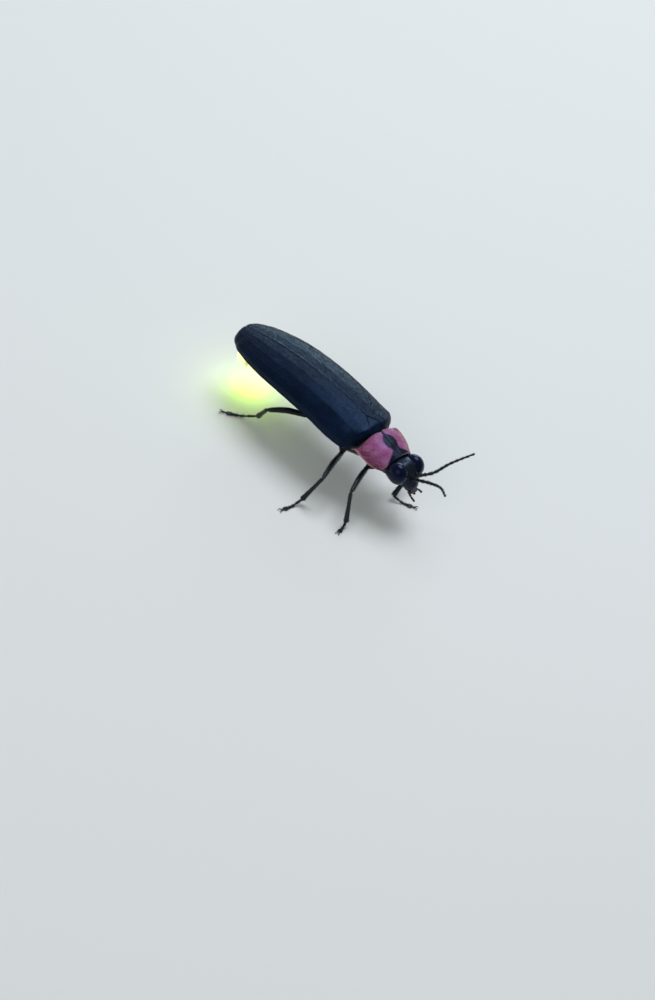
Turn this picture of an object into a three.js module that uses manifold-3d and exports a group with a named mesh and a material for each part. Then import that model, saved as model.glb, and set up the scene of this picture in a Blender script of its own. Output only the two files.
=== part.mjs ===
// A male firefly standing on its six legs, at life size.
// Millimetres, +Z up, the floor at z = 0. The head looks toward -Y and the insect's left is +X.
import * as THREE from "three";
import { mergeVertices } from "three/addons/utils/BufferGeometryUtils.js";
import Module from "manifold-3d";

const wasm = await Module();
wasm.setup();

// Driving dimensions
const WING_CASE_LENGTH = 11;
const BACK_HEIGHT = 4.5; // the floor to the front end of the seam between the wing cases
const SHELL = 0.5; // thickness of the wing cases and of the neck shield
const GAP = 0.15; // clearance between two nodes that touch
const EYE_GAP = 0.08; // the same round an eye, whose socket is narrow
const LEFT = 1;
const RIGHT = -1;
const UP = new THREE.Vector3(0, 0, 1);

// Colours of the plain solids
const BLACK = 0x14161c;
const BLUE_BLACK = 0x1a2233;
const ROSE = 0xc0607a;
const GLOW = 0xe6f58a;
const BROWN_BLACK = 0x221a18;

const firefly = new THREE.Group();

// A place on the insect, measured from the front end of the seam between the wing cases.
function at(forward, left, up) {
  return new THREE.Vector3(left, -forward, BACK_HEIGHT + up);
}

// A smooth function through stations, each a position followed by its values there.
function profile(...stations) {
  const positions = stations.map(([position]) => position);
  const values = stations.flatMap(([, ...rest]) => rest);
  const width = stations[0].length - 1;
  const interpolant = new THREE.CubicInterpolant(positions, values, width);
  return (position) => Array.from(interpolant.evaluate(position));
}

// The side faces of a loft over rings of equal point count.
function sideFaces(rings) {
  const sides = rings[0].length;
  const faces = [];
  rings.slice(1).forEach((_, row) => {
    for (let side = 0; side < sides; side += 1) {
      const a = row * sides + side;
      const b = row * sides + ((side + 1) % sides);
      faces.push(a, b, a + sides, b, b + sides, a + sides);
    }
  });
  return faces;
}

// A closed surface over rounded rings, each end closed by a fan to its centre.
function loft(rings) {
  const sides = rings[0].length;
  const points = rings.flat();
  const middle = (ring) =>
    ring.reduce((sum, point) => sum.add(point), new THREE.Vector3()).divideScalar(sides);
  const start = points.push(middle(rings[0])) - 1;
  const end = points.push(middle(rings.at(-1))) - 1;
  const faces = sideFaces(rings);
  const lastRow = (rings.length - 1) * sides;
  for (let side = 0; side < sides; side += 1) {
    const next = (side + 1) % sides;
    faces.push(start, next, side);
    faces.push(end, lastRow + side, lastRow + next);
  }
  const geometry = new THREE.BufferGeometry().setFromPoints(points);
  return geometry.setIndex(faces);
}

// A curved plate from rows of upper points and the rows of lower points beneath them.
function plate(upperRows, lowerRows) {
  const rings = upperRows.map((upper, row) => [...upper, ...lowerRows[row].toReversed()]);
  const sides = rings[0].length;
  const faces = sideFaces(rings);
  const lastRow = (rings.length - 1) * sides;
  for (let side = 0; side < sides / 2 - 1; side += 1) {
    const below = sides - 1 - side;
    faces.push(side, below, side + 1, side + 1, below, below - 1);
    const [a, b, c, d] = [side, side + 1, below, below - 1].map((point) => lastRow + point);
    faces.push(a, b, c, b, d, c);
  }
  const geometry = new THREE.BufferGeometry().setFromPoints(rings.flat());
  return geometry.setIndex(faces);
}

// A closed geometry as a solid, with its faces turned outward.
function solidFrom(geometry) {
  geometry.deleteAttribute("normal");
  geometry.deleteAttribute("uv");
  const merged = mergeVertices(geometry, 1e-5);
  const triVerts = new Uint32Array(merged.index.array);
  const build = () =>
    new wasm.Manifold(
      new wasm.Mesh({
        numProp: 3,
        vertProperties: merged.attributes.position.array,
        triVerts,
      }),
    );
  const solid = build();
  if (solid.volume() > 0) return solid;
  for (let i = 0; i < triVerts.length; i += 3) {
    [triVerts[i + 1], triVerts[i + 2]] = [triVerts[i + 2], triVerts[i + 1]];
  }
  return build();
}

function join(solids) {
  return solids.reduce((sum, solid) => sum.add(solid));
}

// The largest piece of a solid that a cut may have parted.
function mainPiece(solid) {
  return solid.decompose().sort((a, b) => b.volume() - a.volume())[0];
}

function addNode(name, solid, colour, roughness) {
  const { vertProperties, triVerts } = mainPiece(solid).getMesh();
  const geometry = new THREE.BufferGeometry();
  geometry.setAttribute("position", new THREE.BufferAttribute(vertProperties, 3));
  geometry.setIndex(new THREE.BufferAttribute(triVerts, 1));
  geometry.computeVertexNormals();
  const material = new THREE.MeshStandardMaterial({ color: colour, roughness });
  const mesh = new THREE.Mesh(geometry, material);
  mesh.name = name;
  firefly.add(mesh);
}

// A limb of oval sections along a path. Each section is its place from 0 to 1, its half width
// and, where it isn't round, its half height.
function limb(path, sections, { sides = 10, upward = UP } = {}) {
  const rings = sections.map(([along, halfWide, halfHigh = halfWide]) => {
    const centre = path.getPointAt(along);
    const tangent = path.getTangentAt(along);
    const sideways = new THREE.Vector3().crossVectors(tangent, upward).normalize();
    const over = new THREE.Vector3().crossVectors(sideways, tangent);
    return Array.from({ length: sides }, (_, side) => {
      const angle = (2 * Math.PI * side) / sides;
      return centre
        .clone()
        .addScaledVector(sideways, halfWide * Math.cos(angle))
        .addScaledVector(over, halfHigh * Math.sin(angle));
    });
  });
  return solidFrom(loft(rings));
}

function ellipsoid(centre, radii, grow = 0, detail = 20) {
  const ROWS_FOR_EACH_SIDE = 0.7;
  const ball = new THREE.SphereGeometry(1, detail, Math.round(detail * ROWS_FOR_EACH_SIDE));
  ball.rotateX(Math.PI / 2);
  ball.scale(radii.x + grow, radii.y + grow, radii.z + grow);
  return solidFrom(ball.translate(centre.x, centre.y, centre.z));
}

// Part of the trunk: oval sections along the body, from a profile of half width, top and bottom.
function trunk(from, to, sectionAt, { steps = 12, sides = 24, grow = 0, places } = {}) {
  const stations =
    places ?? Array.from({ length: steps + 1 }, (_, step) => from + ((to - from) * step) / steps);
  const growAlong = (place) =>
    place + Math.sign(from - to) * grow * (1 - (2 * (place - from)) / (to - from));
  const rings = stations.map((place) => {
    const [halfWidth, top, bottom] = sectionAt(place);
    const middle = (top + bottom) / 2;
    const halfHeight = (top - bottom) / 2 + grow;
    return Array.from({ length: sides }, (_, side) => {
      const angle = (2 * Math.PI * side) / sides;
      const left = (halfWidth + grow) * Math.cos(angle);
      return at(growAlong(place), left, middle + halfHeight * Math.sin(angle));
    });
  });
  return solidFrom(loft(rings));
}

// Wing cases: long shells with four low ribs each, parted by the seam

const SEAM = 0.16;
const RIB_HEIGHT = 0.06;
const RIB_EVERY = 4; // columns of the surface from one rib to the next
const CASE_STEPS = 24;
const CASE_COLUMNS = 20;
const CASE_AXIS_DEPTH = 1.5; // how far below the back the shell's thickness points to
const BASE_LEAN = 0.3; // how far the base's outer end lies behind the seam's front end
const LEAN_POWER = 2.5; // above 1, the base leans back mostly near its outer end
const LEAN_ENDS = 0.09; // share of the length where the lean has faded out

// Along the case from 0 at its base to 1 at its tip: half width and drop of the side.
const caseForm = profile(
  [0, 1.5, 0.92],
  [0.03, 1.84, 1.13],
  [0.1, 2.06, 1.24],
  [0.25, 2.14, 1.24],
  [0.5, 2.15, 1.15],
  [0.7, 2.03, 1.0],
  [0.85, 1.7, 0.8],
  [0.93, 1.36, 0.62],
  [0.97, 1.06, 0.49],
  [0.99, 0.72, 0.4],
  [1, 0.28, 0.35],
);

function backLine(along) {
  const ARCH = 0.53;
  const TIP_DROP = 0.67;
  return ARCH * 4 * along * (1 - along) - TIP_DROP * along ** 2;
}

function casePoint(side, along, column, depth) {
  const [halfWidth, drop] = caseForm(along);
  const angle = (column / CASE_COLUMNS) * (Math.PI / 2);
  const back = backLine(along);
  const left = SEAM / 2 + (halfWidth - SEAM / 2) * Math.sin(angle);
  const up = back - drop * (1 - Math.cos(angle));
  const lean = BASE_LEAN * Math.sin(angle) ** LEAN_POWER * Math.max(0, 1 - along / LEAN_ENDS);
  const forward = -WING_CASE_LENGTH * along - lean;
  const outer = at(forward, side * left, up);
  const inward = at(forward, 0, back - CASE_AXIS_DEPTH).sub(outer).normalize();
  const ribbed = depth === 0 && column > 0 && column % RIB_EVERY === 0;
  const rib = ribbed ? RIB_HEIGHT * Math.sin(Math.PI * along) ** 0.5 : 0;
  return outer.addScaledVector(inward, depth - rib);
}

function wingCase(side) {
  const rows = (depth) =>
    Array.from({ length: CASE_STEPS + 1 }, (_, step) => {
      const along = (1 - Math.cos((Math.PI * step) / CASE_STEPS)) / 2;
      return Array.from({ length: CASE_COLUMNS + 1 }, (_, column) =>
        casePoint(side, along, column, depth),
      );
    });
  return solidFrom(plate(rows(0), rows(SHELL)));
}

// Scutellum: the small triangle between the bases of the wing cases

const scutellumForm = profile(
  [-0.95, 0.06, 0.02, -0.4],
  [-0.6, 0.24, 0.04, -0.48],
  [-0.15, 0.42, 0.03, -0.5],
  [0, 0.42, 0.0, -0.48],
);

function scutellum(grow) {
  return trunk(0, -0.95, scutellumForm, { steps: 5, sides: 12, grow });
}

for (const [side, name] of [
  [LEFT, "wing_case_left"],
  [RIGHT, "wing_case_right"],
]) {
  addNode(name, wingCase(side).subtract(scutellum(GAP)), BLUE_BLACK, 0.4);
}
addNode("scutellum", scutellum(0), BLACK, 0.4);

// Neck shield: a domed plate with a thin turned-out rim, over the neck and half the head

const SHIELD_REAR = GAP;
const SHIELD_LENGTH = 2.05;
const SHIELD_FRONT_CURVE = 0.5; // how far the front corners stand back from the middle
const SHIELD_CORNER = 0.3; // how far the hind corners reach back past the middle
const CORNER_STARTS = 0.6; // share of the way from the middle to the side
const SHIELD_SLOPE = 0.5; // how far the front lies below the rear
const SHIELD_NOD = 1.4; // above 1, the slope steepens toward the front
const SHIELD_TUCK = 0.16; // how far the rear edge bends down in front of the wing cases
const TUCK_ENDS = 0.15; // share of the length where that bend has faded out
const SHIELD_RIM = 0.2;
const SHIELD_RIM_DROP = 0.06; // the rim's fall, as a share of the dome's
const SHIELD_AXIS_DEPTH = 2.8;
const SHIELD_STEPS = 10;
const SHIELD_COLUMNS = 24;
const RIM_STARTS = 0.84; // share of the way from the middle to the side
const DOME_ANGLE = THREE.MathUtils.degToRad(72);

// Along the shield from its rear to its front: half width and drop of the side.
const shieldForm = profile(
  [0, 1.68, 0.76],
  [0.3, 1.7, 0.8],
  [0.7, 1.58, 0.82],
  [1, 1.32, 0.76],
);

function shieldPoint(along, across, depth) {
  const [halfWidth, drop] = shieldForm(along);
  const reach = Math.abs(across);
  const angle = Math.min(reach / RIM_STARTS, 1) * DOME_ANGLE;
  const rim = Math.max(0, (reach - RIM_STARTS) / (1 - RIM_STARTS));
  const dome = (halfWidth - SHIELD_RIM) * (Math.sin(angle) / Math.sin(DOME_ANGLE));
  const left = Math.sign(across) * (dome + SHIELD_RIM * rim);
  const tuck = SHIELD_TUCK * Math.max(0, 1 - along / TUCK_ENDS) ** 2;
  const crown = -SHIELD_SLOPE * along ** SHIELD_NOD - tuck;
  const side = (1 - Math.cos(angle)) / (1 - Math.cos(DOME_ANGLE));
  const up = crown - drop * (side + SHIELD_RIM_DROP * rim);
  const front = SHIELD_LENGTH - SHIELD_FRONT_CURVE * reach ** 3;
  const aside = THREE.MathUtils.smoothstep(reach, CORNER_STARTS, 1);
  const corner = SHIELD_CORNER * aside * (1 - along) ** 3;
  const forward = SHIELD_REAR + along * front - corner;
  const outer = at(forward, left, up);
  const inward = at(forward, 0, crown - SHIELD_AXIS_DEPTH).sub(outer).normalize();
  return outer.addScaledVector(inward, depth);
}

function neckShield() {
  const rows = (depth) =>
    Array.from({ length: SHIELD_STEPS + 1 }, (_, step) =>
      Array.from({ length: SHIELD_COLUMNS + 1 }, (_, column) =>
        shieldPoint(step / SHIELD_STEPS, (2 * column) / SHIELD_COLUMNS - 1, depth),
      ),
    );
  return solidFrom(plate(rows(0), rows(SHELL)));
}

// Eyes: the head carries them, and the shield's front is cut clear of them.

const EYE_CENTRE = { forward: 2.68, left: 0.64, up: -1.08 };
const EYE_RADII = new THREE.Vector3(0.5, 0.61, 0.61);

function eye(side, grow = 0) {
  const centre = at(EYE_CENTRE.forward, side * EYE_CENTRE.left, EYE_CENTRE.up);
  return ellipsoid(centre, EYE_RADII, grow);
}

function withoutEyes(solid) {
  return solid.subtract(eye(LEFT, EYE_GAP)).subtract(eye(RIGHT, EYE_GAP));
}

addNode("neck_shield", withoutEyes(neckShield()), ROSE, 0.45);
addNode("eye_left", eye(LEFT), BLACK, 0.1);
addNode("eye_right", eye(RIGHT), BLACK, 0.1);

// Trunk: the neck ring below the shield, the chest, the belly and the lamp.
// Each profile gives half width, top and bottom at a place along the body.

const NECK_RING = { front: 1.95, rear: 0.15 };
const CHEST = { front: -0.05, rear: -4.75 };
const BELLY = { front: CHEST.rear - GAP, rear: -8.35 };
const LAMP = { front: BELLY.rear - GAP, rear: -10.45 };

const neckRingForm = profile(
  [0.15, 0.95, -0.85, -1.95],
  [0.6, 1.08, -0.9, -2.1],
  [1.2, 0.95, -1.05, -2.05],
  [1.7, 0.72, -1.22, -1.9],
  [1.95, 0.55, -1.28, -1.8],
);

const chestForm = profile(
  [-4.75, 1.1, -0.72, -2.15],
  [-4.3, 1.25, -0.66, -2.35],
  [-3, 1.36, -0.62, -2.55],
  [-1.5, 1.34, -0.75, -2.52],
  [-0.4, 1.15, -0.85, -2.25],
  [-0.05, 0.85, -0.95, -1.95],
);

const bellyForm = profile(
  [-8.5, 1.14, -1.0, -2.5],
  [-6.5, 1.22, -0.72, -2.3],
  [-5.2, 1.24, -0.7, -2.22],
  [-4.9, 1.1, -0.78, -2.12],
);

const lampForm = profile(
  [-10.45, 0.45, -1.75, -2.3],
  [-10.3, 0.8, -1.62, -2.52],
  [-9.8, 1.06, -1.5, -2.64],
  [-8.5, 1.12, -1.4, -2.5],
);

function neckRing(grow) {
  return trunk(NECK_RING.front, NECK_RING.rear, neckRingForm, { steps: 8, grow });
}

function chest(grow) {
  return trunk(CHEST.front, CHEST.rear, chestForm, { steps: 12, grow });
}

// A length of belly made of plates, each a little narrower at its front than at its rear.
function platedBelly({ front, rear }, form, plates) {
  const STEP_IN = 0.07;
  const SECTIONS = [0.04, 0.5, 0.98]; // along one plate
  const plate = (rear - front) / plates;
  const places = [];
  for (let index = 0; index < plates; index += 1) {
    places.push(...SECTIONS.map((share) => front + plate * (index + share)));
  }
  const sectionAt = (place) => {
    const [halfWidth, top, bottom] = form(place);
    const share = ((place - front) / plate) % 1;
    const inset = STEP_IN * (1 - share);
    return [halfWidth - inset, top - inset / 2, bottom + inset];
  };
  return trunk(front, rear, sectionAt, { places });
}

addNode("neck_ring", neckRing(0), BROWN_BLACK, 0.5);
addNode("chest", chest(0), BLACK, 0.5);
addNode("belly", platedBelly(BELLY, bellyForm, 5), BROWN_BLACK, 0.5);
addNode("lamp", platedBelly(LAMP, lampForm, 2), GLOW, 0.4);

// Tail plate: the last back plate, over the lamp and under the tips of the wing cases

const TAIL_PLATE = { front: BELLY.rear - GAP, rear: -10.35 };

const tailPlateForm = profile(
  [-10.35, 0.42, -1.12, -1.42],
  [-9.8, 0.85, -0.95, -1.34],
  [-8.5, 0.98, -0.78, -1.22],
);

function tailPlate() {
  return trunk(TAIL_PLATE.front, TAIL_PLATE.rear, tailPlateForm, { steps: 6, sides: 16 });
}

addNode("tail_plate", tailPlate(), BROWN_BLACK, 0.5);

// Head: a capsule between two large eyes, with a short face in front

const HEAD = { rear: 2.12, front: 3.64 };

const headForm = profile(
  [2.12, 0.5, -1.22, -1.8],
  [2.4, 0.85, -1.0, -1.9],
  [2.75, 0.9, -0.6, -1.95],
  [3.1, 0.72, -0.8, -2.0],
  [3.4, 0.46, -1.2, -2.02],
  [3.58, 0.26, -1.5, -1.97],
  [3.64, 0.1, -1.66, -1.86],
);

function headCapsule(grow) {
  return trunk(HEAD.front, HEAD.rear, headForm, { steps: 12, sides: 20, grow });
}

addNode("head", withoutEyes(headCapsule(0)), BLACK, 0.35);

// Mouthparts: upper lip, two curved jaws and two pairs of palps on one small block

const MOUTH = { forward: 3.42, up: -2.12 };
const PALP_TIPS = {
  right: at(3.9, -0.05, -2.62),
  left: at(3.86, 0.46, -2.2),
};

function palp(side, tip) {
  const root = at(MOUTH.forward - 0.1, side * 0.16, MOUTH.up - 0.05);
  const bend = root.clone().lerp(tip, 0.45).add(new THREE.Vector3(side * 0.1, 0, 0.06));
  const path = new THREE.CatmullRomCurve3([root, bend, tip]);
  const joints = [
    [0, 0.1],
    [0.28, 0.12],
    [0.32, 0.08],
    [0.58, 0.12],
    [0.62, 0.08],
    [0.85, 0.12],
    [1, 0.03],
  ];
  return limb(path, joints, { sides: 8 });
}

function jaw(side) {
  const root = at(MOUTH.forward, side * 0.14, MOUTH.up);
  const path = new THREE.QuadraticBezierCurve3(
    root,
    root.clone().add(new THREE.Vector3(side * 0.16, -0.26, -0.05)),
    root.clone().add(new THREE.Vector3(-side * 0.12, -0.34, -0.12)),
  );
  const taper = [
    [0, 0.12],
    [0.6, 0.09],
    [1, 0.02],
  ];
  return limb(path, taper, { sides: 8 });
}

function mouthparts() {
  const block = ellipsoid(
    at(MOUTH.forward - 0.08, 0, MOUTH.up - 0.02),
    new THREE.Vector3(0.32, 0.25, 0.16),
    0,
    12,
  );
  const pieces = [
    block,
    jaw(LEFT),
    jaw(RIGHT),
    palp(LEFT, PALP_TIPS.left),
    palp(RIGHT, PALP_TIPS.right),
  ];
  return join(pieces).subtract(headCapsule(GAP / 2));
}

addNode("mouthparts", mouthparts(), BROWN_BLACK, 0.4);

// Antennae: eleven joints each, every joint a little wider at its far end

const ANTENNA_JOINTS = 11;
const ANTENNA_ROOT = { forward: 3.3, left: 0.19, up: -1.22 };
const ANTENNA_RADIUS = { root: 0.23, tip: 0.13 };

const ANTENNA_PATHS = {
  left: [at(3.95, 0.89, -0.8), at(4.4, 1.54, -0.07), at(5.2, 2.52, 0.87)],
  right: [at(4.6, -0.12, -0.56), at(5.65, -0.42, 0.06), at(6.5, -0.98, 0.4)],
};

function antenna(side, bends) {
  const root = at(ANTENNA_ROOT.forward, side * ANTENNA_ROOT.left, ANTENNA_ROOT.up);
  const path = new THREE.CatmullRomCurve3([root, ...bends]);
  const sections = [];
  for (let joint = 0; joint < ANTENNA_JOINTS; joint += 1) {
    const { root: thick, tip: thin } = ANTENNA_RADIUS;
    const radius = THREE.MathUtils.lerp(thick, thin, joint / (ANTENNA_JOINTS - 1));
    sections.push([(joint + 0.03) / ANTENNA_JOINTS, radius * 0.75]);
    sections.push([(joint + 0.85) / ANTENNA_JOINTS, radius]);
  }
  sections.push([1, 0.04]);
  return withoutEyes(limb(path, sections, { sides: 8 })).subtract(headCapsule(GAP / 2));
}

addNode("antenna_left", antenna(LEFT, ANTENNA_PATHS.left), BLACK, 0.5);
addNode("antenna_right", antenna(RIGHT, ANTENNA_PATHS.right), BLACK, 0.5);

// Legs: coxa, trochanter, thigh, shin with two spurs, five foot joints and two claws

const FLOOR = -BACK_HEIGHT;
const ANKLE_HEIGHT = 0.42;

// Sections of each leg piece: place along it, half width, half height.
const COXA_FORM = [
  [0, 0.3],
  [0.5, 0.33],
  [0.9, 0.26],
  [1, 0.16],
];
const THIGH_FORM = [
  [0, 0.14],
  [0.05, 0.22],
  [0.25, 0.25, 0.26],
  [0.5, 0.26, 0.29],
  [0.8, 0.25, 0.26],
  [0.96, 0.22],
  [1, 0.12],
];
const SHIN_FORM = [
  [0, 0.12],
  [0.05, 0.22],
  [0.3, 0.24],
  [0.7, 0.25],
  [0.95, 0.25],
  [1, 0.16],
];
// Each foot joint: its share of the foot and the half width of its far end.
const FOOT_JOINTS = [
  [0.32, 0.2],
  [0.2, 0.2],
  [0.14, 0.21],
  [0.12, 0.23],
  [0.22, 0.16],
];
const FOOT_FLATNESS = 0.72;
const SOLE_HEIGHT = 0.115; // the foot's centre line above the floor, less than its half height
const CLAW_LENGTH = 0.34;
const SPUR_LENGTH = 0.3;

const LEGS = {
  leg_front_right: {
    hip: at(0.7, -0.38, -2.0),
    trochanter: at(0.45, -0.6, -2.42),
    knee: at(1.65, -3.1, -2.2),
    ankle: at(1.97, -3.28, FLOOR + ANKLE_HEIGHT),
    toe: at(2.17, -3.98, FLOOR),
  },
  leg_middle_right: {
    hip: at(-1.6, -0.45, -2.3),
    trochanter: at(-1.5, -0.66, -2.82),
    knee: at(-0.21, -3.53, -2.4),
    ankle: at(-0.78, -4.18, FLOOR + ANKLE_HEIGHT),
    toe: at(-0.97, -5.53, FLOOR),
  },
  leg_hind_right: {
    hip: at(-4.1, -0.45, -2.2),
    trochanter: at(-4.62, -0.56, -2.44),
    knee: at(-6.1, -2.47, -2.24),
    ankle: at(-7.31, -1.54, FLOOR + ANKLE_HEIGHT),
    toe: at(-8.93, -2.86, FLOOR),
  },
  leg_front_left: {
    hip: at(0.7, 0.38, -2.0),
    trochanter: at(0.45, 0.6, -2.42),
    knee: at(1.6, 2.5, -2.7),
    ankle: at(1.85, 0.62, FLOOR + ANKLE_HEIGHT),
    toe: at(3.06, 1.28, FLOOR),
  },
  leg_middle_left: {
    hip: at(-1.6, 0.45, -2.3),
    trochanter: at(-1.5, 0.66, -2.82),
    knee: at(-2.2, 3.25, -2.35),
    ankle: at(-3.1, 3.75, FLOOR + ANKLE_HEIGHT),
    toe: at(-4.0, 4.75, FLOOR),
  },
  leg_hind_left: {
    hip: at(-4.1, 0.45, -2.2),
    trochanter: at(-4.62, 0.56, -2.44),
    knee: at(-6.0, 2.9, -2.25),
    ankle: at(-7.3, 3.2, FLOOR + ANKLE_HEIGHT),
    toe: at(-9.0, 4.3, FLOOR),
  },
};

function straight(start, end) {
  return new THREE.LineCurve3(start, end);
}

function bowed(start, end, rise) {
  const middle = start.clone().lerp(end, 0.5).addScaledVector(UP, rise);
  return new THREE.QuadraticBezierCurve3(start, middle, end);
}

// The foot's path comes down from the ankle and then runs along the floor.
function footPath(ankle, toe) {
  const onFloor = (share) => {
    const place = ankle.clone().lerp(toe, share);
    place.z = SOLE_HEIGHT;
    return place;
  };
  const instep = ankle.clone().lerp(toe, 0.25);
  instep.z = THREE.MathUtils.lerp(ankle.z, SOLE_HEIGHT, 0.55);
  return new THREE.CatmullRomCurve3([ankle, instep, onFloor(0.55), onFloor(1)]);
}

function foot(ankle, toe) {
  const path = footPath(ankle, toe);
  const sections = [[0, 0.15, 0.15]];
  let along = 0;
  for (const [share, halfWide] of FOOT_JOINTS) {
    const halfHigh = halfWide * FOOT_FLATNESS;
    sections.push([along + share * 0.12, halfWide * 0.72, halfHigh * 0.9]);
    sections.push([along + share * 0.8, halfWide, halfHigh]);
    along += share;
  }
  sections.push([1, 0.1, 0.08]);
  return limb(path, sections, { sides: 8 });
}

function claw(ankle, toe, side) {
  const ahead = toe.clone().sub(ankle).setZ(0).normalize();
  const aside = new THREE.Vector3(-ahead.y, ahead.x, 0).multiplyScalar(side);
  const root = toe.clone().setZ(SOLE_HEIGHT).addScaledVector(ahead, -0.06);
  const arch = root
    .clone()
    .addScaledVector(ahead, CLAW_LENGTH * 0.5)
    .addScaledVector(aside, CLAW_LENGTH * 0.35)
    .setZ(SOLE_HEIGHT + 0.09);
  const tip = root
    .clone()
    .addScaledVector(ahead, CLAW_LENGTH)
    .addScaledVector(aside, CLAW_LENGTH * 0.5)
    .setZ(0.03);
  const path = new THREE.QuadraticBezierCurve3(root, arch, tip);
  const taper = [
    [0, 0.08],
    [0.6, 0.06],
    [1, 0.02],
  ];
  return limb(path, taper, { sides: 6 });
}

function spur(knee, ankle, side) {
  const down = ankle.clone().sub(knee).normalize();
  const aside = new THREE.Vector3().crossVectors(down, UP).normalize().multiplyScalar(side);
  const root = ankle.clone().addScaledVector(down, -0.12).addScaledVector(aside, 0.12);
  const tip = root.clone().addScaledVector(down, SPUR_LENGTH).addScaledVector(aside, 0.1);
  const taper = [
    [0, 0.07],
    [1, 0.02],
  ];
  return limb(straight(root, tip), taper, { sides: 6 });
}

function floorBlock() {
  const SPAN = 40;
  const DEPTH = 2;
  return solidFrom(new THREE.BoxGeometry(SPAN, SPAN, DEPTH).translate(0, 0, -DEPTH / 2));
}

function leg({ hip, trochanter, knee, ankle, toe }) {
  const alongBody = new THREE.Vector3(0, 1, 0);
  const pieces = [
    limb(straight(hip, trochanter), COXA_FORM, { sides: 12, upward: alongBody }),
    limb(bowed(trochanter, knee, 0.2), THIGH_FORM, { sides: 12 }),
    limb(straight(knee, ankle), SHIN_FORM, { sides: 12, upward: alongBody }),
    foot(ankle, toe),
    spur(knee, ankle, LEFT),
    spur(knee, ankle, RIGHT),
    claw(ankle, toe, LEFT),
    claw(ankle, toe, RIGHT),
  ];
  return join(pieces).subtract(floorBlock()).subtract(chest(GAP)).subtract(neckRing(GAP));
}

for (const [name, joints] of Object.entries(LEGS)) {
  addNode(name, leg(joints), BLACK, 0.45);
}

// The part's origin is the middle of its footprint, on the floor.
const part = new THREE.Group();
const box = new THREE.Box3().setFromObject(firefly);
const centre = box.getCenter(new THREE.Vector3());
firefly.position.set(-centre.x, -centre.y, 0);
part.add(firefly);

export default part;
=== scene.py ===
"""A male firefly at life size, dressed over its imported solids.

Places on the insect are in millimetres: forward from the front end of the seam between the
wing cases, left of the seam, and up from that point. One function turns them into metres in
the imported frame.
"""

import logging
import math
from collections.abc import Callable, Sequence
from dataclasses import dataclass, field
from enum import Enum

import bmesh
import bpy
import numpy as np
from mathutils import Matrix, Vector


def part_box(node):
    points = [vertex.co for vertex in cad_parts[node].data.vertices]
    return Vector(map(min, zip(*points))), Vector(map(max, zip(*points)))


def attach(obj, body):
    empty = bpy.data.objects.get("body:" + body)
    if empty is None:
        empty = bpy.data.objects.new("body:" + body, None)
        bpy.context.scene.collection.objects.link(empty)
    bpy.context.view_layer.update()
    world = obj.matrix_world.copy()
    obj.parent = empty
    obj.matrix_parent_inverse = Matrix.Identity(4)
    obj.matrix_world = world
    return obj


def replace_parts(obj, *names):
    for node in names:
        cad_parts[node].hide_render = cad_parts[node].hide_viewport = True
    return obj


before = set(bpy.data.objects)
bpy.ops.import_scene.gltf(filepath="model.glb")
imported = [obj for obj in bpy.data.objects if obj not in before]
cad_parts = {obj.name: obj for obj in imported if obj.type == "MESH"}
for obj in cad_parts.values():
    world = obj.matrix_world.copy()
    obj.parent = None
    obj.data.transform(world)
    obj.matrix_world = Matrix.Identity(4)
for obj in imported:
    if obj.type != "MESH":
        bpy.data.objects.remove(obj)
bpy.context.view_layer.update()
LOG = logging.getLogger("firefly")

MM = 0.001
BACK_HEIGHT = 4.5
WING_CASE_LENGTH = 11.0
FLOOR = -BACK_HEIGHT
BODY = "root"
UP = np.array([0.0, 0.0, 1.0])
FORWARD = np.array([1.0, 0.0, 0.0])


class Side(Enum):
    """A side of the insect, as the sign of its places to the left."""

    LEFT = 1
    RIGHT = -1

    @property
    def word(self) -> str:
        """The side as a piece's name says it."""
        return self.name.lower()


class Slot(Enum):
    """The record's material slots."""

    BLACK = "black_cuticle"
    BROWN = "brown_cuticle"
    CASE = "wing_case"
    ROSE = "rose_shield"
    EYE = "eye"
    LAMP = "lamp"


def seam_front() -> np.ndarray:
    """Finds the front end of the seam between the wing cases, one case length from their tips.

    Returns:
        Its place in the frame, in metres.
    """
    left_low, left_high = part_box("wing_case_left")
    _, right_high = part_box("wing_case_right")
    middle = (left_low.x + right_high.x) / 2
    return np.array([middle, left_high.y - WING_CASE_LENGTH * MM, BACK_HEIGHT * MM])


SEAM_FRONT = seam_front()


def to_frame(places: np.ndarray) -> np.ndarray:
    """Turns places on the insect into the frame's metres.

    Args:
        places: Forward, left and up in the last axis, in millimetres.

    Returns:
        X, Y and Z in the last axis, in metres.
    """
    forward, left, up = np.moveaxis(np.asarray(places, float), -1, 0)
    return SEAM_FRONT + MM * np.stack([left, -forward, up], axis=-1)


def on_side(place: Sequence[float], side: Side) -> np.ndarray:
    """Moves a place given for the left to a side of the insect."""
    return np.array(place) * np.array([1, side.value, 1])


def unit(vectors: np.ndarray) -> np.ndarray:
    """Scales vectors to length one."""
    return vectors / np.maximum(np.linalg.norm(vectors, axis=-1, keepdims=True), 1e-12)


def bump(distance: np.ndarray, width: float) -> np.ndarray:
    """A smooth bump that is 1 at no distance and fades over a width."""
    return np.exp(-((distance / width) ** 2))


def ease(low: float, high: float, value: np.ndarray) -> np.ndarray:
    """Rises smoothly from 0 at low to 1 at high."""
    share = np.clip((value - low) / (high - low), 0, 1)
    return share * share * (3 - 2 * share)


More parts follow.
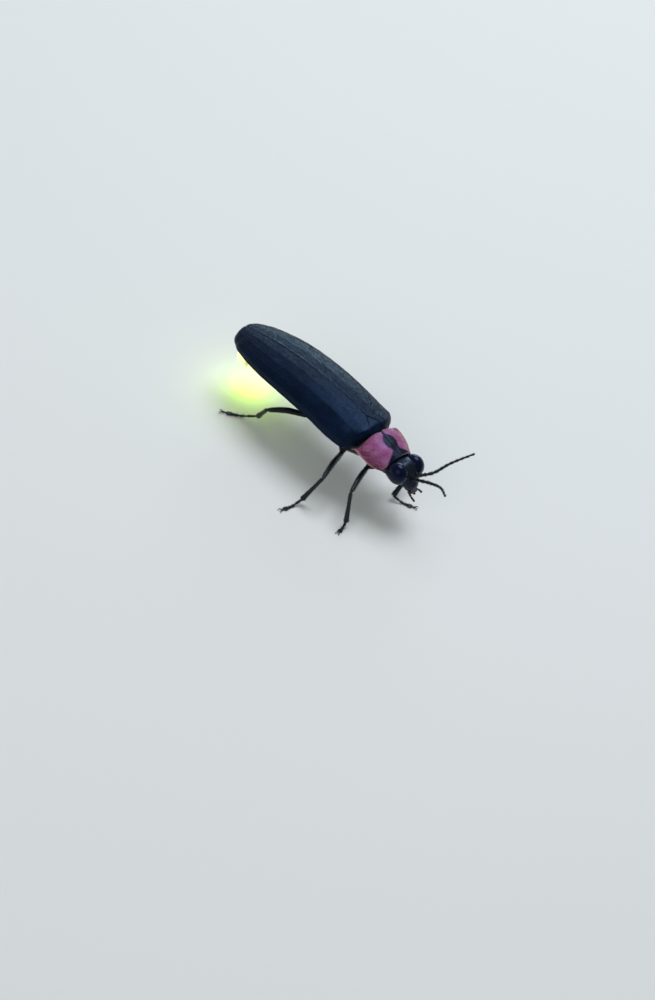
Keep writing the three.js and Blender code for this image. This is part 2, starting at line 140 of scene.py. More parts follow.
class Profile:
    """A smooth function through stations, each a position followed by its values there."""

    def __init__(self, *stations: Sequence[float]) -> None:
        """Keeps the stations and the slope at each.

        Args:
            stations: Rows of a position and its values, with the positions rising.
        """
        table = np.array(stations, float)
        self.places, self.values = table[:, 0], table[:, 1:]
        slopes = np.diff(self.values, axis=0) / np.diff(self.places)[:, None]
        inner = (slopes[:-1] + slopes[1:]) / 2
        self.tangents = np.vstack([slopes[:1], inner, slopes[-1:]])

    def __call__(self, places: np.ndarray) -> tuple[np.ndarray, ...]:
        """Evaluates the function.

        Args:
            places: Positions, in any shape.

        Returns:
            One array for each value, each in the shape of the positions.
        """
        places = np.clip(np.asarray(places, float), self.places[0], self.places[-1])
        row = np.clip(np.searchsorted(self.places, places) - 1, 0, len(self.places) - 2)
        step = self.places[row + 1] - self.places[row]
        t = ((places - self.places[row]) / step)[..., None]
        step = step[..., None]
        start, end = self.values[row], self.values[row + 1]
        mixed = (
            (2 * t**3 - 3 * t**2 + 1) * start
            + (t**3 - 2 * t**2 + t) * step * self.tangents[row]
            + (3 * t**2 - 2 * t**3) * end
            + (t**3 - t**2) * step * self.tangents[row + 1]
        )
        return tuple(np.moveaxis(mixed, -1, 0))


class Path:
    """A smooth curve through a few places on the insect, walked by shares of its length."""

    SAMPLES = 400

    def __init__(self, *places: Sequence[float]) -> None:
        """Fits the curve.

        Args:
            places: Two or more places, each forward, left and up.
        """
        points = np.array(places, float)
        gaps = np.linalg.norm(np.diff(points, axis=0), axis=1) ** 0.5
        along = np.concatenate([[0], np.cumsum(gaps)])
        curve = Profile(*np.column_stack([along, points]))
        self.points = np.stack(curve(np.linspace(0, along[-1], self.SAMPLES)), axis=-1)
        steps = np.linalg.norm(np.diff(self.points, axis=0), axis=1)
        self.length = float(steps.sum())
        self.shares = np.concatenate([[0], np.cumsum(steps)]) / self.length

    def at(self, shares: np.ndarray) -> np.ndarray:
        """Places at shares of the curve's length."""
        return np.stack([np.interp(shares, self.shares, axis) for axis in self.points.T], axis=-1)

    def tangent(self, shares: np.ndarray) -> np.ndarray:
        """Finds which way the curve runs.

        Args:
            shares: Shares of the curve's length.

        Returns:
            Unit directions there.
        """
        reach = 0.01
        ahead = self.at(np.minimum(np.asarray(shares) + reach, 1))
        behind = self.at(np.maximum(np.asarray(shares) - reach, 0))
        return unit(ahead - behind)


def rounded(start: float, end: float, count: int, power: float = 1.0) -> np.ndarray:
    """Shares that are closer together near both ends.

    Args:
        start: First share.
        end: Last share.
        count: Number of shares.
        power: 0 for an even spacing and 1 for the closest ends.

    Returns:
        The shares, rising from start to end.
    """
    even = np.linspace(0, 1, count)
    eased = (1 - np.cos(math.pi * even)) / 2
    return start + (end - start) * (even * (1 - power) + eased * power)


def tube(
    path: Path,
    sections: Profile,
    steps: int,
    sides: int = 20,
    upward: np.ndarray = UP,
) -> np.ndarray:
    """Builds a tube of oval sections along a path.

    Args:
        path: Its middle line.
        sections: Half width and half height, in millimetres, at shares of the path.
        steps: Number of sections.
        sides: Points round each section.
        upward: The direction that heights are taken towards.

    Returns:
        Points in rows along the tube and columns round it.
    """
    first, last = sections.places[0], sections.places[-1]
    shares = rounded(first, last, steps, 0.6)
    centres, tangents = path.at(shares), path.tangent(shares)
    sideways = unit(np.cross(tangents, upward))
    over = np.cross(sideways, tangents)
    half_wide, half_high = sections(shares)
    angles = np.arange(sides) * 2 * math.pi / sides
    across = half_wide[:, None, None] * np.cos(angles)[None, :, None] * sideways[:, None]
    upright = half_high[:, None, None] * np.sin(angles)[None, :, None] * over[:, None]
    return centres[:, None] + across + upright


def round_sections(*stations: Sequence[float]) -> Profile:
    """Sections of a limb, where a station without a half height is round."""
    return Profile(*[(*row, row[1]) if len(row) == 2 else row for row in stations])


@dataclass
class Draft:
    """A mesh in the making: patches of places on the insect, their faces and their paint."""

    points: list[np.ndarray] = field(default_factory=list)
    faces: list[np.ndarray] = field(default_factory=list)
    paint: dict[str, list[tuple[int, np.ndarray]]] = field(default_factory=dict)
    flat_places: list[np.ndarray] = field(default_factory=list)
    count: int = 0

    def patch(self, points: np.ndarray, *faces: np.ndarray, **paint: np.ndarray) -> None:
        """Adds points and the faces between them.

        Args:
            points: Rows of forward, left and up.
            faces: Arrays of rows of point numbers, counted within this patch.
            paint: Named values from 0 to 1, one for each point.
        """
        self.points.append(points.reshape(-1, 3))
        self.faces.extend(rows + self.count for rows in faces)
        for name, values in paint.items():
            self.paint.setdefault(name, []).append((self.count, np.ravel(values)))
        self.count += len(self.points[-1])

    def grid(
        self, grid: np.ndarray, ring: bool = False, ends: bool = False, **paint: np.ndarray
    ) -> None:
        """Adds a surface of rows and columns.

        Args:
            grid: Points in rows and columns.
            ring: Whether the last column joins the first.
            ends: Whether the first and last rows are closed by a fan to their middle.
            paint: Named values from 0 to 1, in rows and columns.
        """
        rows, columns = grid.shape[:2]
        index = np.arange(rows * columns).reshape(rows, columns)
        if ring:
            index = np.hstack([index, index[:, :1]])
        corners = [index[:-1, :-1], index[:-1, 1:], index[1:, 1:], index[1:, :-1]]
        quads = np.stack(corners, axis=-1).reshape(-1, 4)
        points = grid.reshape(-1, 3)
        fans = []
        if ends:
            for row, flip in ((0, False), (rows - 1, True)):
                middle = len(points)
                points = np.vstack([points, grid[row].mean(axis=0)])
                edge = index[row]
                fan = np.stack([np.full(len(edge) - 1, middle), edge[1:], edge[:-1]], axis=-1)
                fans.append(fan[:, ::-1] if flip else fan)
            paint = {
                name: np.append(np.ravel(values), [np.mean(values[0]), np.mean(values[-1])])
                for name, values in paint.items()
            }
        self.patch(points, quads, *fans, **paint)

    def shell(self, outer: np.ndarray, inner: np.ndarray, **paint: np.ndarray) -> None:
        """Adds a curved plate with a closed edge.

        Args:
            outer: Points of the outer face, in rows and columns.
            inner: Points of the inner face, in the same rows and columns.
            paint: Named values from 0 to 1, in the same rows and columns, or with the inner
                face's columns after them in turned order.
        """
        loop = np.concatenate([outer, inner[:, ::-1]], axis=1)
        both = {
            name: part if part.shape == loop.shape[:2] else np.hstack([part, part[:, ::-1]])
            for name, part in paint.items()
        }
        start = self.count
        self.grid(loop, ring=True, **both)
        rows, columns = loop.shape[:2]
        half = columns // 2
        near = np.arange(half)
        far = columns - 1 - near
        front = np.stack([near[:-1], far[:-1], far[1:], near[1:]], axis=-1)
        back = (front + (rows - 1) * columns)[:, ::-1]
        self.faces.extend([front + start, back + start])

    def to_object(
        self, name: str, material: bpy.types.Material, slot: Slot, sealed: bool = True
    ) -> bpy.types.Object:
        """Makes the piece and lets it ride on the body.

        Args:
            name: The piece's name.
            material: Its finish.
            slot: Not used.
            sealed: Whether to turn every closed surface outward.

        Returns:
            The new object.
        """
        mesh = bpy.data.meshes.new(name)
        places = to_frame(np.concatenate(self.points))
        sizes = np.concatenate([np.full(len(rows), rows.shape[1]) for rows in self.faces])
        corners = np.concatenate([rows.ravel() for rows in self.faces])
        mesh.vertices.add(len(places))
        mesh.vertices.foreach_set("co", places.ravel())
        mesh.loops.add(len(corners))
        mesh.loops.foreach_set("vertex_index", corners.astype(np.int32))
        mesh.polygons.add(len(sizes))
        starts = np.concatenate([[0], np.cumsum(sizes)[:-1]])
        mesh.polygons.foreach_set("loop_start", starts.astype(np.int32))
        mesh.update(calc_edges=True)
        if sealed:
            shell = bmesh.new()
            shell.from_mesh(mesh)
            bmesh.ops.recalc_face_normals(shell, faces=shell.faces)
            shell.to_mesh(mesh)
            shell.free()
        mesh.shade_smooth()
        for label, entries in self.paint.items():
            values = np.zeros(self.count, np.float32)
            for start, part in entries:
                values[start : start + len(part)] = part
            mesh.attributes.new(label, "FLOAT", "POINT").data.foreach_set("value", values)
        if self.flat_places:
            flat = np.concatenate(self.flat_places)[corners]
            layer = mesh.uv_layers.new(name=Coat.MAP_NAME)
            layer.data.foreach_set("uv", flat.astype(np.float32).ravel())
        piece = bpy.data.objects.new(name, mesh)
        bpy.context.scene.collection.objects.link(piece)
        piece.data.materials.append(material)
        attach(piece, BODY)
        LOG.info("%s: %d points, %d faces", name, len(places), len(sizes))
        return piece


@dataclass(frozen=True)
class Coat:
    """Short stiff hair that lies along a surface, each hair a slim bent spike.

    The map flattens the skin into a square, and each hair is a small patch at its root's
    place there.
    """

    length: float
    width: float
    lift: float
    per_square_mm: float
    spread: float = 0.25
    MAP_NAME = "OFBake"
    TUFT = 0.003
    SINK = 0.008
    SIDES = 3
    BEND_ALONG = 0.45
    BEND_LIFT = 0.8
    BEND_WIDTH = 0.76
    SHORTEST = 0.7
    LONGEST = 1.2

    def grow(
        self,
        draft: Draft,
        skin: np.ndarray,
        rng: np.random.Generator,
        ring: bool = False,
        thin: Callable[[np.ndarray, np.ndarray], np.ndarray] | None = None,
        marking: Callable[[np.ndarray], np.ndarray] | None = None,
        strip: tuple[int, int] = (0, 1),
    ) -> None:
        """Grows hair on a grid of skin, lying from its first row to its last.

        Args:
            draft: The mesh that takes the hair.
            skin: Points in rows and columns.
            rng: The seeded source of chance.
            ring: Whether the last column joins the first.
            thin: Gives the share of hairs kept at row and column shares, if not all.
            marking: Gives the skin's mark at places, from 0 to 1, if the skin has one.
            strip: Which strip of the flattened skin this grid takes, and of how many.
        """
        if ring:
            skin = np.concatenate([skin, skin[:, :1]], axis=1)
        down = skin[1:, :-1] - skin[:-1, :-1]
        across = skin[:-1, 1:] - skin[:-1, :-1]
        crossed = np.cross(down, across)
        areas = np.linalg.norm(crossed, axis=-1)
        total = areas.sum()
        number = int(total * self.per_square_mm)
        cells = rng.choice(areas.size, number, p=areas.ravel() / total)
        row, column = np.unravel_index(cells, areas.shape)
        r, c = rng.random((2, number, 1))
        corner = skin[row, column]
        roots = corner + r * (skin[row + 1, column] - corner) + c * (skin[row, column + 1] - corner)
        normals = unit(crossed[row, column])
        if ring:
            middle = skin[row].mean(axis=1)
            facing = np.sum((roots - middle) * normals, axis=-1, keepdims=True)
        else:
            facing = normals[:, 2:3]
        normals = normals * np.where(facing < 0, -1, 1)
        lies = unit(down[row, column])
        shares = np.column_stack([(row + r[:, 0]) / len(down), (column + c[:, 0]) / len(across[0])])
        if thin is not None:
            kept = rng.random(number) < thin(shares[:, 0], shares[:, 1])
            roots, normals, lies, shares = (a[kept] for a in (roots, normals, lies, shares))
        index, number = strip
        shares[:, 1] = (index + shares[:, 1]) / number
        marks = np.zeros(len(roots)) if marking is None else marking(roots)
        self.plant(draft, roots, normals, lies, shares, marks, rng)

    def plant(
        self,
        draft: Draft,
        roots: np.ndarray,
        normals: np.ndarray,
        lies: np.ndarray,
        shares: np.ndarray,
        marks: np.ndarray,
        rng: np.random.Generator,
    ) -> None:
        """Sets one hair at each root.

        Args:
            draft: The mesh that takes the hair.
            roots: Places on the skin.
            normals: Unit directions out of the skin.
            lies: Unit directions along the skin.
            shares: Each root's place on the flattened skin, from 0 to 1.
            marks: The skin's mark at each root, from 0 to 1.
            rng: The seeded source of chance.
        """
        number = len(roots)
        sideways = unit(np.cross(lies, normals))
        sway = rng.normal(0, self.spread, (number, 1))
        lies = unit(lies + sway * sideways)
        sideways = unit(np.cross(lies, normals))
        length = self.length * rng.uniform(self.SHORTEST, self.LONGEST, (number, 1))
        bend = roots + length * (self.BEND_ALONG * lies + self.BEND_LIFT * self.lift * normals)
        tip = roots + length * (lies + self.lift * normals)
        base = roots - self.SINK * normals
        angles = np.arange(self.SIDES) * 2 * math.pi / self.SIDES
        rim = (
            np.cos(angles)[None, :, None] * sideways[:, None]
            + np.sin(angles)[None, :, None] * normals[:, None]
        )
        low = base[:, None] + self.width / 2 * rim
        high = bend[:, None] + self.width / 2 * self.BEND_WIDTH * rim
        points = np.concatenate([low, high, tip[:, None]], axis=1)
        points[..., 2] = np.maximum(points[..., 2], FLOOR + self.SINK)
        first = np.arange(number)[:, None] * points.shape[1]
        # A hair's points 0 to 2 are its base, 3 to 5 its bend and 6 its tip.
        walls = np.array([[0, 1, 4, 3], [1, 2, 5, 4], [2, 0, 3, 5]])
        caps = np.array([[3, 4, 6], [4, 5, 6], [5, 3, 6], [2, 1, 0]])
        quads = (first[:, :, None] + walls[None]).reshape(-1, 4)
        triangles = (first[:, :, None] + caps[None]).reshape(-1, 3)
        draft.patch(points, quads, triangles, mark=np.repeat(marks, points.shape[1]))
        spots = np.array([[0, 0], [1, 0], [0.5, 0.3], [0.2, 0.6], [0.8, 0.6], [0.5, 0.8], [0.5, 1]])
        flat = shares[:, None] * (1 - self.TUFT) + self.TUFT * spots[None]
        draft.flat_places.append(flat.reshape(-1, 2))


def srgb(code: str) -> tuple[float, float, float, float]:
    """Turns an sRGB hex colour to linear.

    Args:
        code: Six hex digits.

    Returns:
        Linear red, green and blue, with full alpha.
    """
    parts = [int(code[start : start + 2], 16) / 255 for start in (0, 2, 4)]
    linear = [p / 12.92 if p <= 0.04045 else ((p + 0.055) / 1.055) ** 2.4 for p in parts]
    return (*linear, 1.0)


def per_metre(millimetres: float) -> float:
    """A texture's scale, from the real size of one grain."""
    return 1 / (millimetres * MM)


def node(
    tree: bpy.types.NodeTree,
    kind: str,
    settings: dict[str, object] | None = None,
    inputs: dict[str | int, object] | None = None,
) -> bpy.types.Node:
    """Adds a node.

    Args:
        tree: The tree that takes it.
        kind: The node's type, without its usual prefix.
        settings: Properties of the node.
        inputs: Values or other nodes' outputs, by the name or number of the input.

    Returns:
        The new node.
    """
    made = tree.nodes.new(f"ShaderNode{kind}")
    for name, value in (settings or {}).items():
        setattr(made, name, value)
    for name, value in (inputs or {}).items():
        if isinstance(value, bpy.types.NodeSocket):
            tree.links.new(value, made.inputs[name])
        else:
            made.inputs[name].default_value = value
    return made


# A mix of colours takes its share at input 0 and its colours at 6 and 7, and gives output 2.
COLOURS = {"data_type": "RGBA"}
MIXED = 2


def new_tree(name: str) -> tuple[bpy.types.Material, bpy.types.NodeTree]:
    """Starts a material with an empty node tree.

    Args:
        name: The material's name.

    Returns:
        The material and its tree.
    """
    material = bpy.data.materials.new(name)
    material.use_nodes = True
    material.node_tree.nodes.clear()
    return material, material.node_tree


@dataclass(frozen=True)
class Cuticle:
    """Hard insect cuticle: pigmented chitin, secreted in layers and finely pitted."""

    name: str
    colour: str
    worn_colour: str
    roughness: float = 0.35
    roughness_swing: float = 0.1
    pit_spacing: float = 0.07
    pit_depth: float = 0.008
    grain: float = 0.018
    grain_depth: float = 0.002
    patch: float = 1.2
    ior: float = 1.56
    coat: float = 0.0
    coat_roughness: float = 0.12
    sheen: float = 0.0
    sheen_roughness: float = 0.45
    sheen_colour: str = "8FA6B8"
    gloss_tint: str = "FFFFFF"

    def material(self) -> bpy.types.Material:
        """Builds the finish: pits and grain in the bump, and slow changes of tone and gloss.

        Returns:
            The material.
        """
        material, tree = new_tree(self.name)
        place = node(tree, "TexCoord").outputs["Object"]
        tone = node(
            tree, "TexNoise", None, {"Vector": place, "Scale": per_metre(self.patch), "Detail": 4.0}
        ).outputs["Fac"]
        grain = node(
            tree, "TexNoise", None, {"Vector": place, "Scale": per_metre(self.grain), "Detail": 2.0}
        ).outputs["Fac"]
        pits = node(
            tree,
            "TexVoronoi",
            {"feature": "SMOOTH_F1"},
            {"Vector": place, "Scale": per_metre(self.pit_spacing), "Smoothness": 0.4},
        ).outputs["Distance"]
        share = node(
            tree, "MapRange", None, {"Value": tone, "From Min": 0.35, "From Max": 0.7}
        ).outputs[0]
        colour = node(
            tree, "Mix", COLOURS, {0: share, 6: srgb(self.colour), 7: srgb(self.worn_colour)}
        ).outputs[MIXED]
        gloss = node(
            tree,
            "MapRange",
            None,
            {
                "Value": tone,
                "From Min": 0.3,
                "From Max": 0.7,
                "To Min": self.roughness - self.roughness_swing / 2,
                "To Max": self.roughness + self.roughness_swing / 2,
            },
        ).outputs[0]
        pitted = node(
            tree,
            "Bump",
            None,
            {"Height": pits, "Distance": self.pit_depth * MM, "Strength": 1.0},
        ).outputs[0]
        grained = node(
            tree,
            "Bump",
            None,
            {"Height": grain, "Distance": self.grain_depth * MM, "Strength": 1.0, "Normal": pitted},
        ).outputs[0]
        shader = node(
            tree,
            "BsdfPrincipled",
            None,
            {
                "Base Color": colour,
                "Roughness": gloss,
                "IOR": self.ior,
                "Normal": grained,
                "Specular Tint": srgb(self.gloss_tint),
                "Coat Weight": self.coat,
                "Coat Roughness": self.coat_roughness,
                "Sheen Weight": self.sheen,
                "Sheen Roughness": self.sheen_roughness,
                "Sheen Tint": srgb(self.sheen_colour),
            },
        )
        node(tree, "OutputMaterial", None, {"Surface": shader.outputs[0]})
        return material


@dataclass(frozen=True)
class ShieldCuticle:
    """The neck shield's cuticle: clear rose chitin over soft tissue, with a black mark.

    Light enters the clear layer and comes out rose, and it passes right through the thin rim.
    """

    name: str = "rose_chitin_clear_moulded"
    rose: str = "8C4474"
    # Painted shade: the darker rose at the sides, the rear edge and the folds.
    shade_rose: str = "702C4E"
    pale: str = "A06CA0"
    rim: str = "AC8468"
    mark: str = "030308"
    mottle: float = 0.5
    pit_spacing: float = 0.075
    pit_depth: float = 0.01
    roughness: float = 0.4
    ior: float = 1.5
    gloss_tint: str = "6474B4"
    clearness: float = 0.45
    light_depth: float = 0.25
    light_reach: tuple[float, float, float] = (1.0, 0.35, 0.3)
    coat: float = 0.04
    coat_roughness: float = 0.2

    def material(self) -> bpy.types.Material:
        """Builds the finish from the mark, the rim and the painted shade laid on the mesh.

        Returns:
            The material.
        """
        material, tree = new_tree(self.name)
        place = node(tree, "TexCoord").outputs["Object"]
        mottle = node(
            tree,
            "TexNoise",
            None,
            {"Vector": place, "Scale": per_metre(self.mottle), "Detail": 5.0},
        ).outputs["Fac"]
        pits = node(
            tree,
            "TexVoronoi",
            {"feature": "SMOOTH_F1"},
            {"Vector": place, "Scale": per_metre(self.pit_spacing), "Smoothness": 0.5},
        ).outputs["Distance"]
        share = node(
            tree, "MapRange", None, {"Value": mottle, "From Min": 0.4, "From Max": 0.65}
        ).outputs[0]
        colour = node(
            tree, "Mix", COLOURS, {0: share, 6: srgb(self.rose), 7: srgb(self.pale)}
        ).outputs[MIXED]
        # Each paint covers what lies below it, and the mark covers all.
        # The darker rose is painted shade where the shield curves down, meets the cases and folds
        # in.
        # The mark's paint is also painted shade on the shield's underside and on the folds' front.
        for paint, shade in (("blush", self.shade_rose), ("rim", self.rim), ("mark", self.mark)):
            painted = node(tree, "Attribute", {"attribute_name": paint}).outputs["Fac"]
            layer = node(tree, "Mix", COLOURS, {0: painted, 6: colour, 7: srgb(shade)})
            colour = layer.outputs[MIXED]
        bumped = node(
            tree, "Bump", None, {"Height": pits, "Distance": self.pit_depth * MM, "Strength": 1.0}
        ).outputs[0]
        # Light enters the rose chitin but not the mark, which is the last paint.
        clear = node(
            tree, "MapRange", None, {"Value": painted, "To Min": self.clearness, "To Max": 0.0}
        ).outputs[0]
        shader = node(
            tree,
            "BsdfPrincipled",
            None,
            {
                "Base Color": colour,
                "Roughness": self.roughness,
                "IOR": self.ior,
                "Specular Tint": srgb(self.gloss_tint),
                "Normal": bumped,
                "Subsurface Weight": clear,
                "Subsurface Radius": self.light_reach,
                "Subsurface Scale": self.light_depth * MM,
                "Coat Weight": self.coat,
                "Coat Roughness": self.coat_roughness,
            },
        )
        node(tree, "OutputMaterial", None, {"Surface": shader.outputs[0]})
        return material


@dataclass(frozen=True)
class EyeCornea:
    """The clear lenses over a black retina, polished smooth: a wet blue-black gloss."""

    name: str = "cornea_clear_chitin"
    black: str = "020408"
    blue: str = "081024"
    roughness: float = 0.22
    ior: float = 1.5
    gloss_tint: str = "4C68BC"
    coat: float = 0.1
    coat_roughness: float = 0.06

    def material(self) -> bpy.types.Material:
        """Builds the finish: darker between the lenses, under a hard gloss.

        Returns:
            The material.
        """
        material, tree = new_tree(self.name)
        lens = node(tree, "Attribute", {"attribute_name": "lens"}).outputs["Fac"]
        colour = node(
            tree, "Mix", COLOURS, {0: lens, 6: srgb(self.black), 7: srgb(self.blue)}
        ).outputs[MIXED]
        shader = node(
            tree,
            "BsdfPrincipled",
            None,
            {
                "Base Color": colour,
                "Roughness": self.roughness,
                "IOR": self.ior,
                "Specular Tint": srgb(self.gloss_tint),
                "Coat Weight": self.coat,
                "Coat Roughness": self.coat_roughness,
            },
        )
        node(tree, "OutputMaterial", None, {"Surface": shader.outputs[0]})
        return material


@dataclass(frozen=True)
class LampTissue:
    """The light organ: waxy tissue under a clear window, lit from within."""

    name: str = "light_organ_waxy_tissue"
    wax: str = "F3EDC4"
    cell: str = "DCD79A"
    glow: str = "C6FF2E"
    hot: str = "FAFFB8"
    cell_size: float = 0.12
    roughness: float = 0.4
    ior: float = 1.45
    weakest: float = 0.25
    strength: float = 1.9

    def material(self) -> bpy.types.Material:
        """Builds the finish: pale cells that glow, hottest in the middle of each plate.

        Returns:
            The material.
        """
        material, tree = new_tree(self.name)
        place = node(tree, "TexCoord").outputs["Object"]
        core = node(tree, "Attribute", {"attribute_name": "core"}).outputs["Fac"]
        cells = node(
            tree, "TexVoronoi", None, {"Vector": place, "Scale": per_metre(self.cell_size)}
        ).outputs["Distance"]
        share = node(
            tree, "MapRange", None, {"Value": cells, "From Min": 0.2, "From Max": 0.7}
        ).outputs[0]
        wax = node(
            tree, "Mix", COLOURS, {0: share, 6: srgb(self.wax), 7: srgb(self.cell)}
        ).outputs[MIXED]
        light = node(
            tree, "Mix", COLOURS, {0: core, 6: srgb(self.glow), 7: srgb(self.hot)}
        ).outputs[MIXED]
        speckle = node(
            tree,
            "MapRange",
            None,
            {"Value": cells, "From Min": 0.0, "From Max": 0.8, "To Min": 1.0, "To Max": 0.6},
        ).outputs[0]
        power = node(
            tree, "MapRange", None, {"Value": core, "To Min": self.weakest, "To Max": self.strength}
        ).outputs[0]
        lit = node(
            tree, "Math", {"operation": "MULTIPLY"}, {0: power, 1: speckle}
        ).outputs[0]
        shader = node(
            tree,
            "BsdfPrincipled",
            None,
            {
                "Base Color": wax,
                "Roughness": self.roughness,
                "IOR": self.ior,
                "Emission Color": light,
                "Emission Strength": lit,
            },
        )
        node(tree, "OutputMaterial", None, {"Surface": shader.outputs[0]})
        return material


@dataclass(frozen=True)
class HairChitin:
    """Hair of thin chitin, drawn out to a point: soft, half clear, and catching the light."""

    name: str
    colour: str
    tip_colour: str
    gloss_tint: str = "FFFFFF"
    mark: str = "0D0D12"
    patch: float = 0.3
    roughness: float = 0.45
    ior: float = 1.55

    def material(self) -> bpy.types.Material:
        """Builds the finish: a slow change of tone, and dark where the skin's mark is.

        Returns:
            The material.
        """
        material, tree = new_tree(self.name)
        place = node(tree, "TexCoord").outputs["Object"]
        tone = node(
            tree, "TexNoise", None, {"Vector": place, "Scale": per_metre(self.patch), "Detail": 3.0}
        ).outputs["Fac"]
        plain = node(
            tree, "Mix", COLOURS, {0: tone, 6: srgb(self.colour), 7: srgb(self.tip_colour)}
        ).outputs[MIXED]
        mark = node(tree, "Attribute", {"attribute_name": "mark"}).outputs["Fac"]
        colour = node(
            tree, "Mix", COLOURS, {0: mark, 6: plain, 7: srgb(self.mark)}
        ).outputs[MIXED]
        shader = node(
            tree,
            "BsdfPrincipled",
            None,
            {
                "Base Color": colour,
                "Roughness": self.roughness,
                "IOR": self.ior,
                "Specular Tint": srgb(self.gloss_tint),
            },
        )
        node(tree, "OutputMaterial", None, {"Surface": shader.outputs[0]})
        return material


# Moulded and finely pitted chitin: blue-black, with a broad soft gloss that turns pale where
# the case curves away.
CASE_CHITIN = Cuticle(
    name="wing_case_chitin_moulded_pitted",
    colour="030818",
    worn_colour="06112A",
    roughness=0.42,
    pit_spacing=0.06,
    pit_depth=0.004,
    gloss_tint="4070A4",
    sheen=0.05,
    sheen_colour="3F84B4",
)
# Polished chitin of the head and chest: black, with a tighter cool gloss.
BLACK_CHITIN = Cuticle(
    name="black_chitin_polished",
    colour="06080C",
    worn_colour="0E1219",
    roughness=0.32,
    pit_spacing=0.05,
    pit_depth=0.004,
    gloss_tint="8CA6D8",
    coat=0.06,
)
# Satin chitin of the legs and antennae: neutral black, with a wide dull gloss along each limb.
LEG_CHITIN = Cuticle(
    name="leg_chitin_satin",
    colour="08090A",
    worn_colour="121415",
    roughness=0.42,
    gloss_tint="B8C4C8",
    pit_spacing=0.045,
    pit_depth=0.004,
    patch=0.8,
)
# Thinner satin chitin of the belly, neck and mouthparts: dark brown, and warmer where it is thin.
BROWN_CHITIN = Cuticle(
    name="brown_chitin_satin",
    colour="1A100D",
    worn_colour="2C1A14",
    roughness=0.4,
    pit_spacing=0.06,
    pit_depth=0.005,
)
# Hard smooth chitin of the claws and jaws: red-brown, with a small bright gloss.
CLAW_CHITIN = Cuticle(
    name="claw_chitin_hard_polished",
    colour="160D08",
    worn_colour="2A1608",
    roughness=0.2,
    pit_depth=0.001,
    coat=0.3,
)
# Dark hair of the wing cases, body and legs: a dull blue bloom over the black.
DARK_HAIR = HairChitin(
    name="hair_chitin_dark",
    colour="0A1424",
    tip_colour="142A44",
    gloss_tint="7FA2D8",
    roughness=0.55,
)
# Amber hair of the neck shield: a soft warm edge where the light catches it.
PALE_HAIR = HairChitin(name="hair_chitin_amber", colour="B07A70", tip_colour="E2BBAA")


@dataclass(frozen=True)
class Scutellum:
    """The small triangle between the bases of the wing cases."""

    rear: float = -0.95
    front: float = 0.1
    form: Profile = Profile(
        (-0.95, 0.02, 0.13), (-0.6, 0.23, 0.09), (-0.2, 0.42, 0.02), (0.1, 0.44, -0.22)
    )
    clearance: float = 0.02
    depth: float = 0.35
    crown: float = 0.03
    edge_drop: float = 0.03
    rim_height: float = 0.02
    steps: int = 50
    columns: int = 40

    def half_width(self, forward: np.ndarray) -> np.ndarray:
        """Half its width at places along the body, and none behind its tip."""
        inside = forward > self.form.places[0] - self.clearance
        return np.where(inside, self.form(forward)[0] + self.clearance, 0)

    def build(self) -> None:
        """Builds it as a domed plate with a fine rim."""
        forward = rounded(self.rear, self.front, self.steps)[:, None]
        across = rounded(-1, 1, self.columns)[None, :]
        half_width, top = self.form(forward)
        inset = 1 - np.abs(across)
        crown = self.crown * (1 - across**2)
        edge = -self.edge_drop * bump(inset, 0.25) + self.rim_height * bump(inset, 0.1)
        up = top + crown + edge
        outer = np.stack(np.broadcast_arrays(forward, half_width * across, up), axis=-1)
        inner = outer - self.depth * UP
        draft = Draft()
        draft.shell(outer, inner)
        plate = draft.to_object("scutellum_plate", CASE_CHITIN.material(), Slot.BLACK)
        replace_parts(plate, "scutellum")


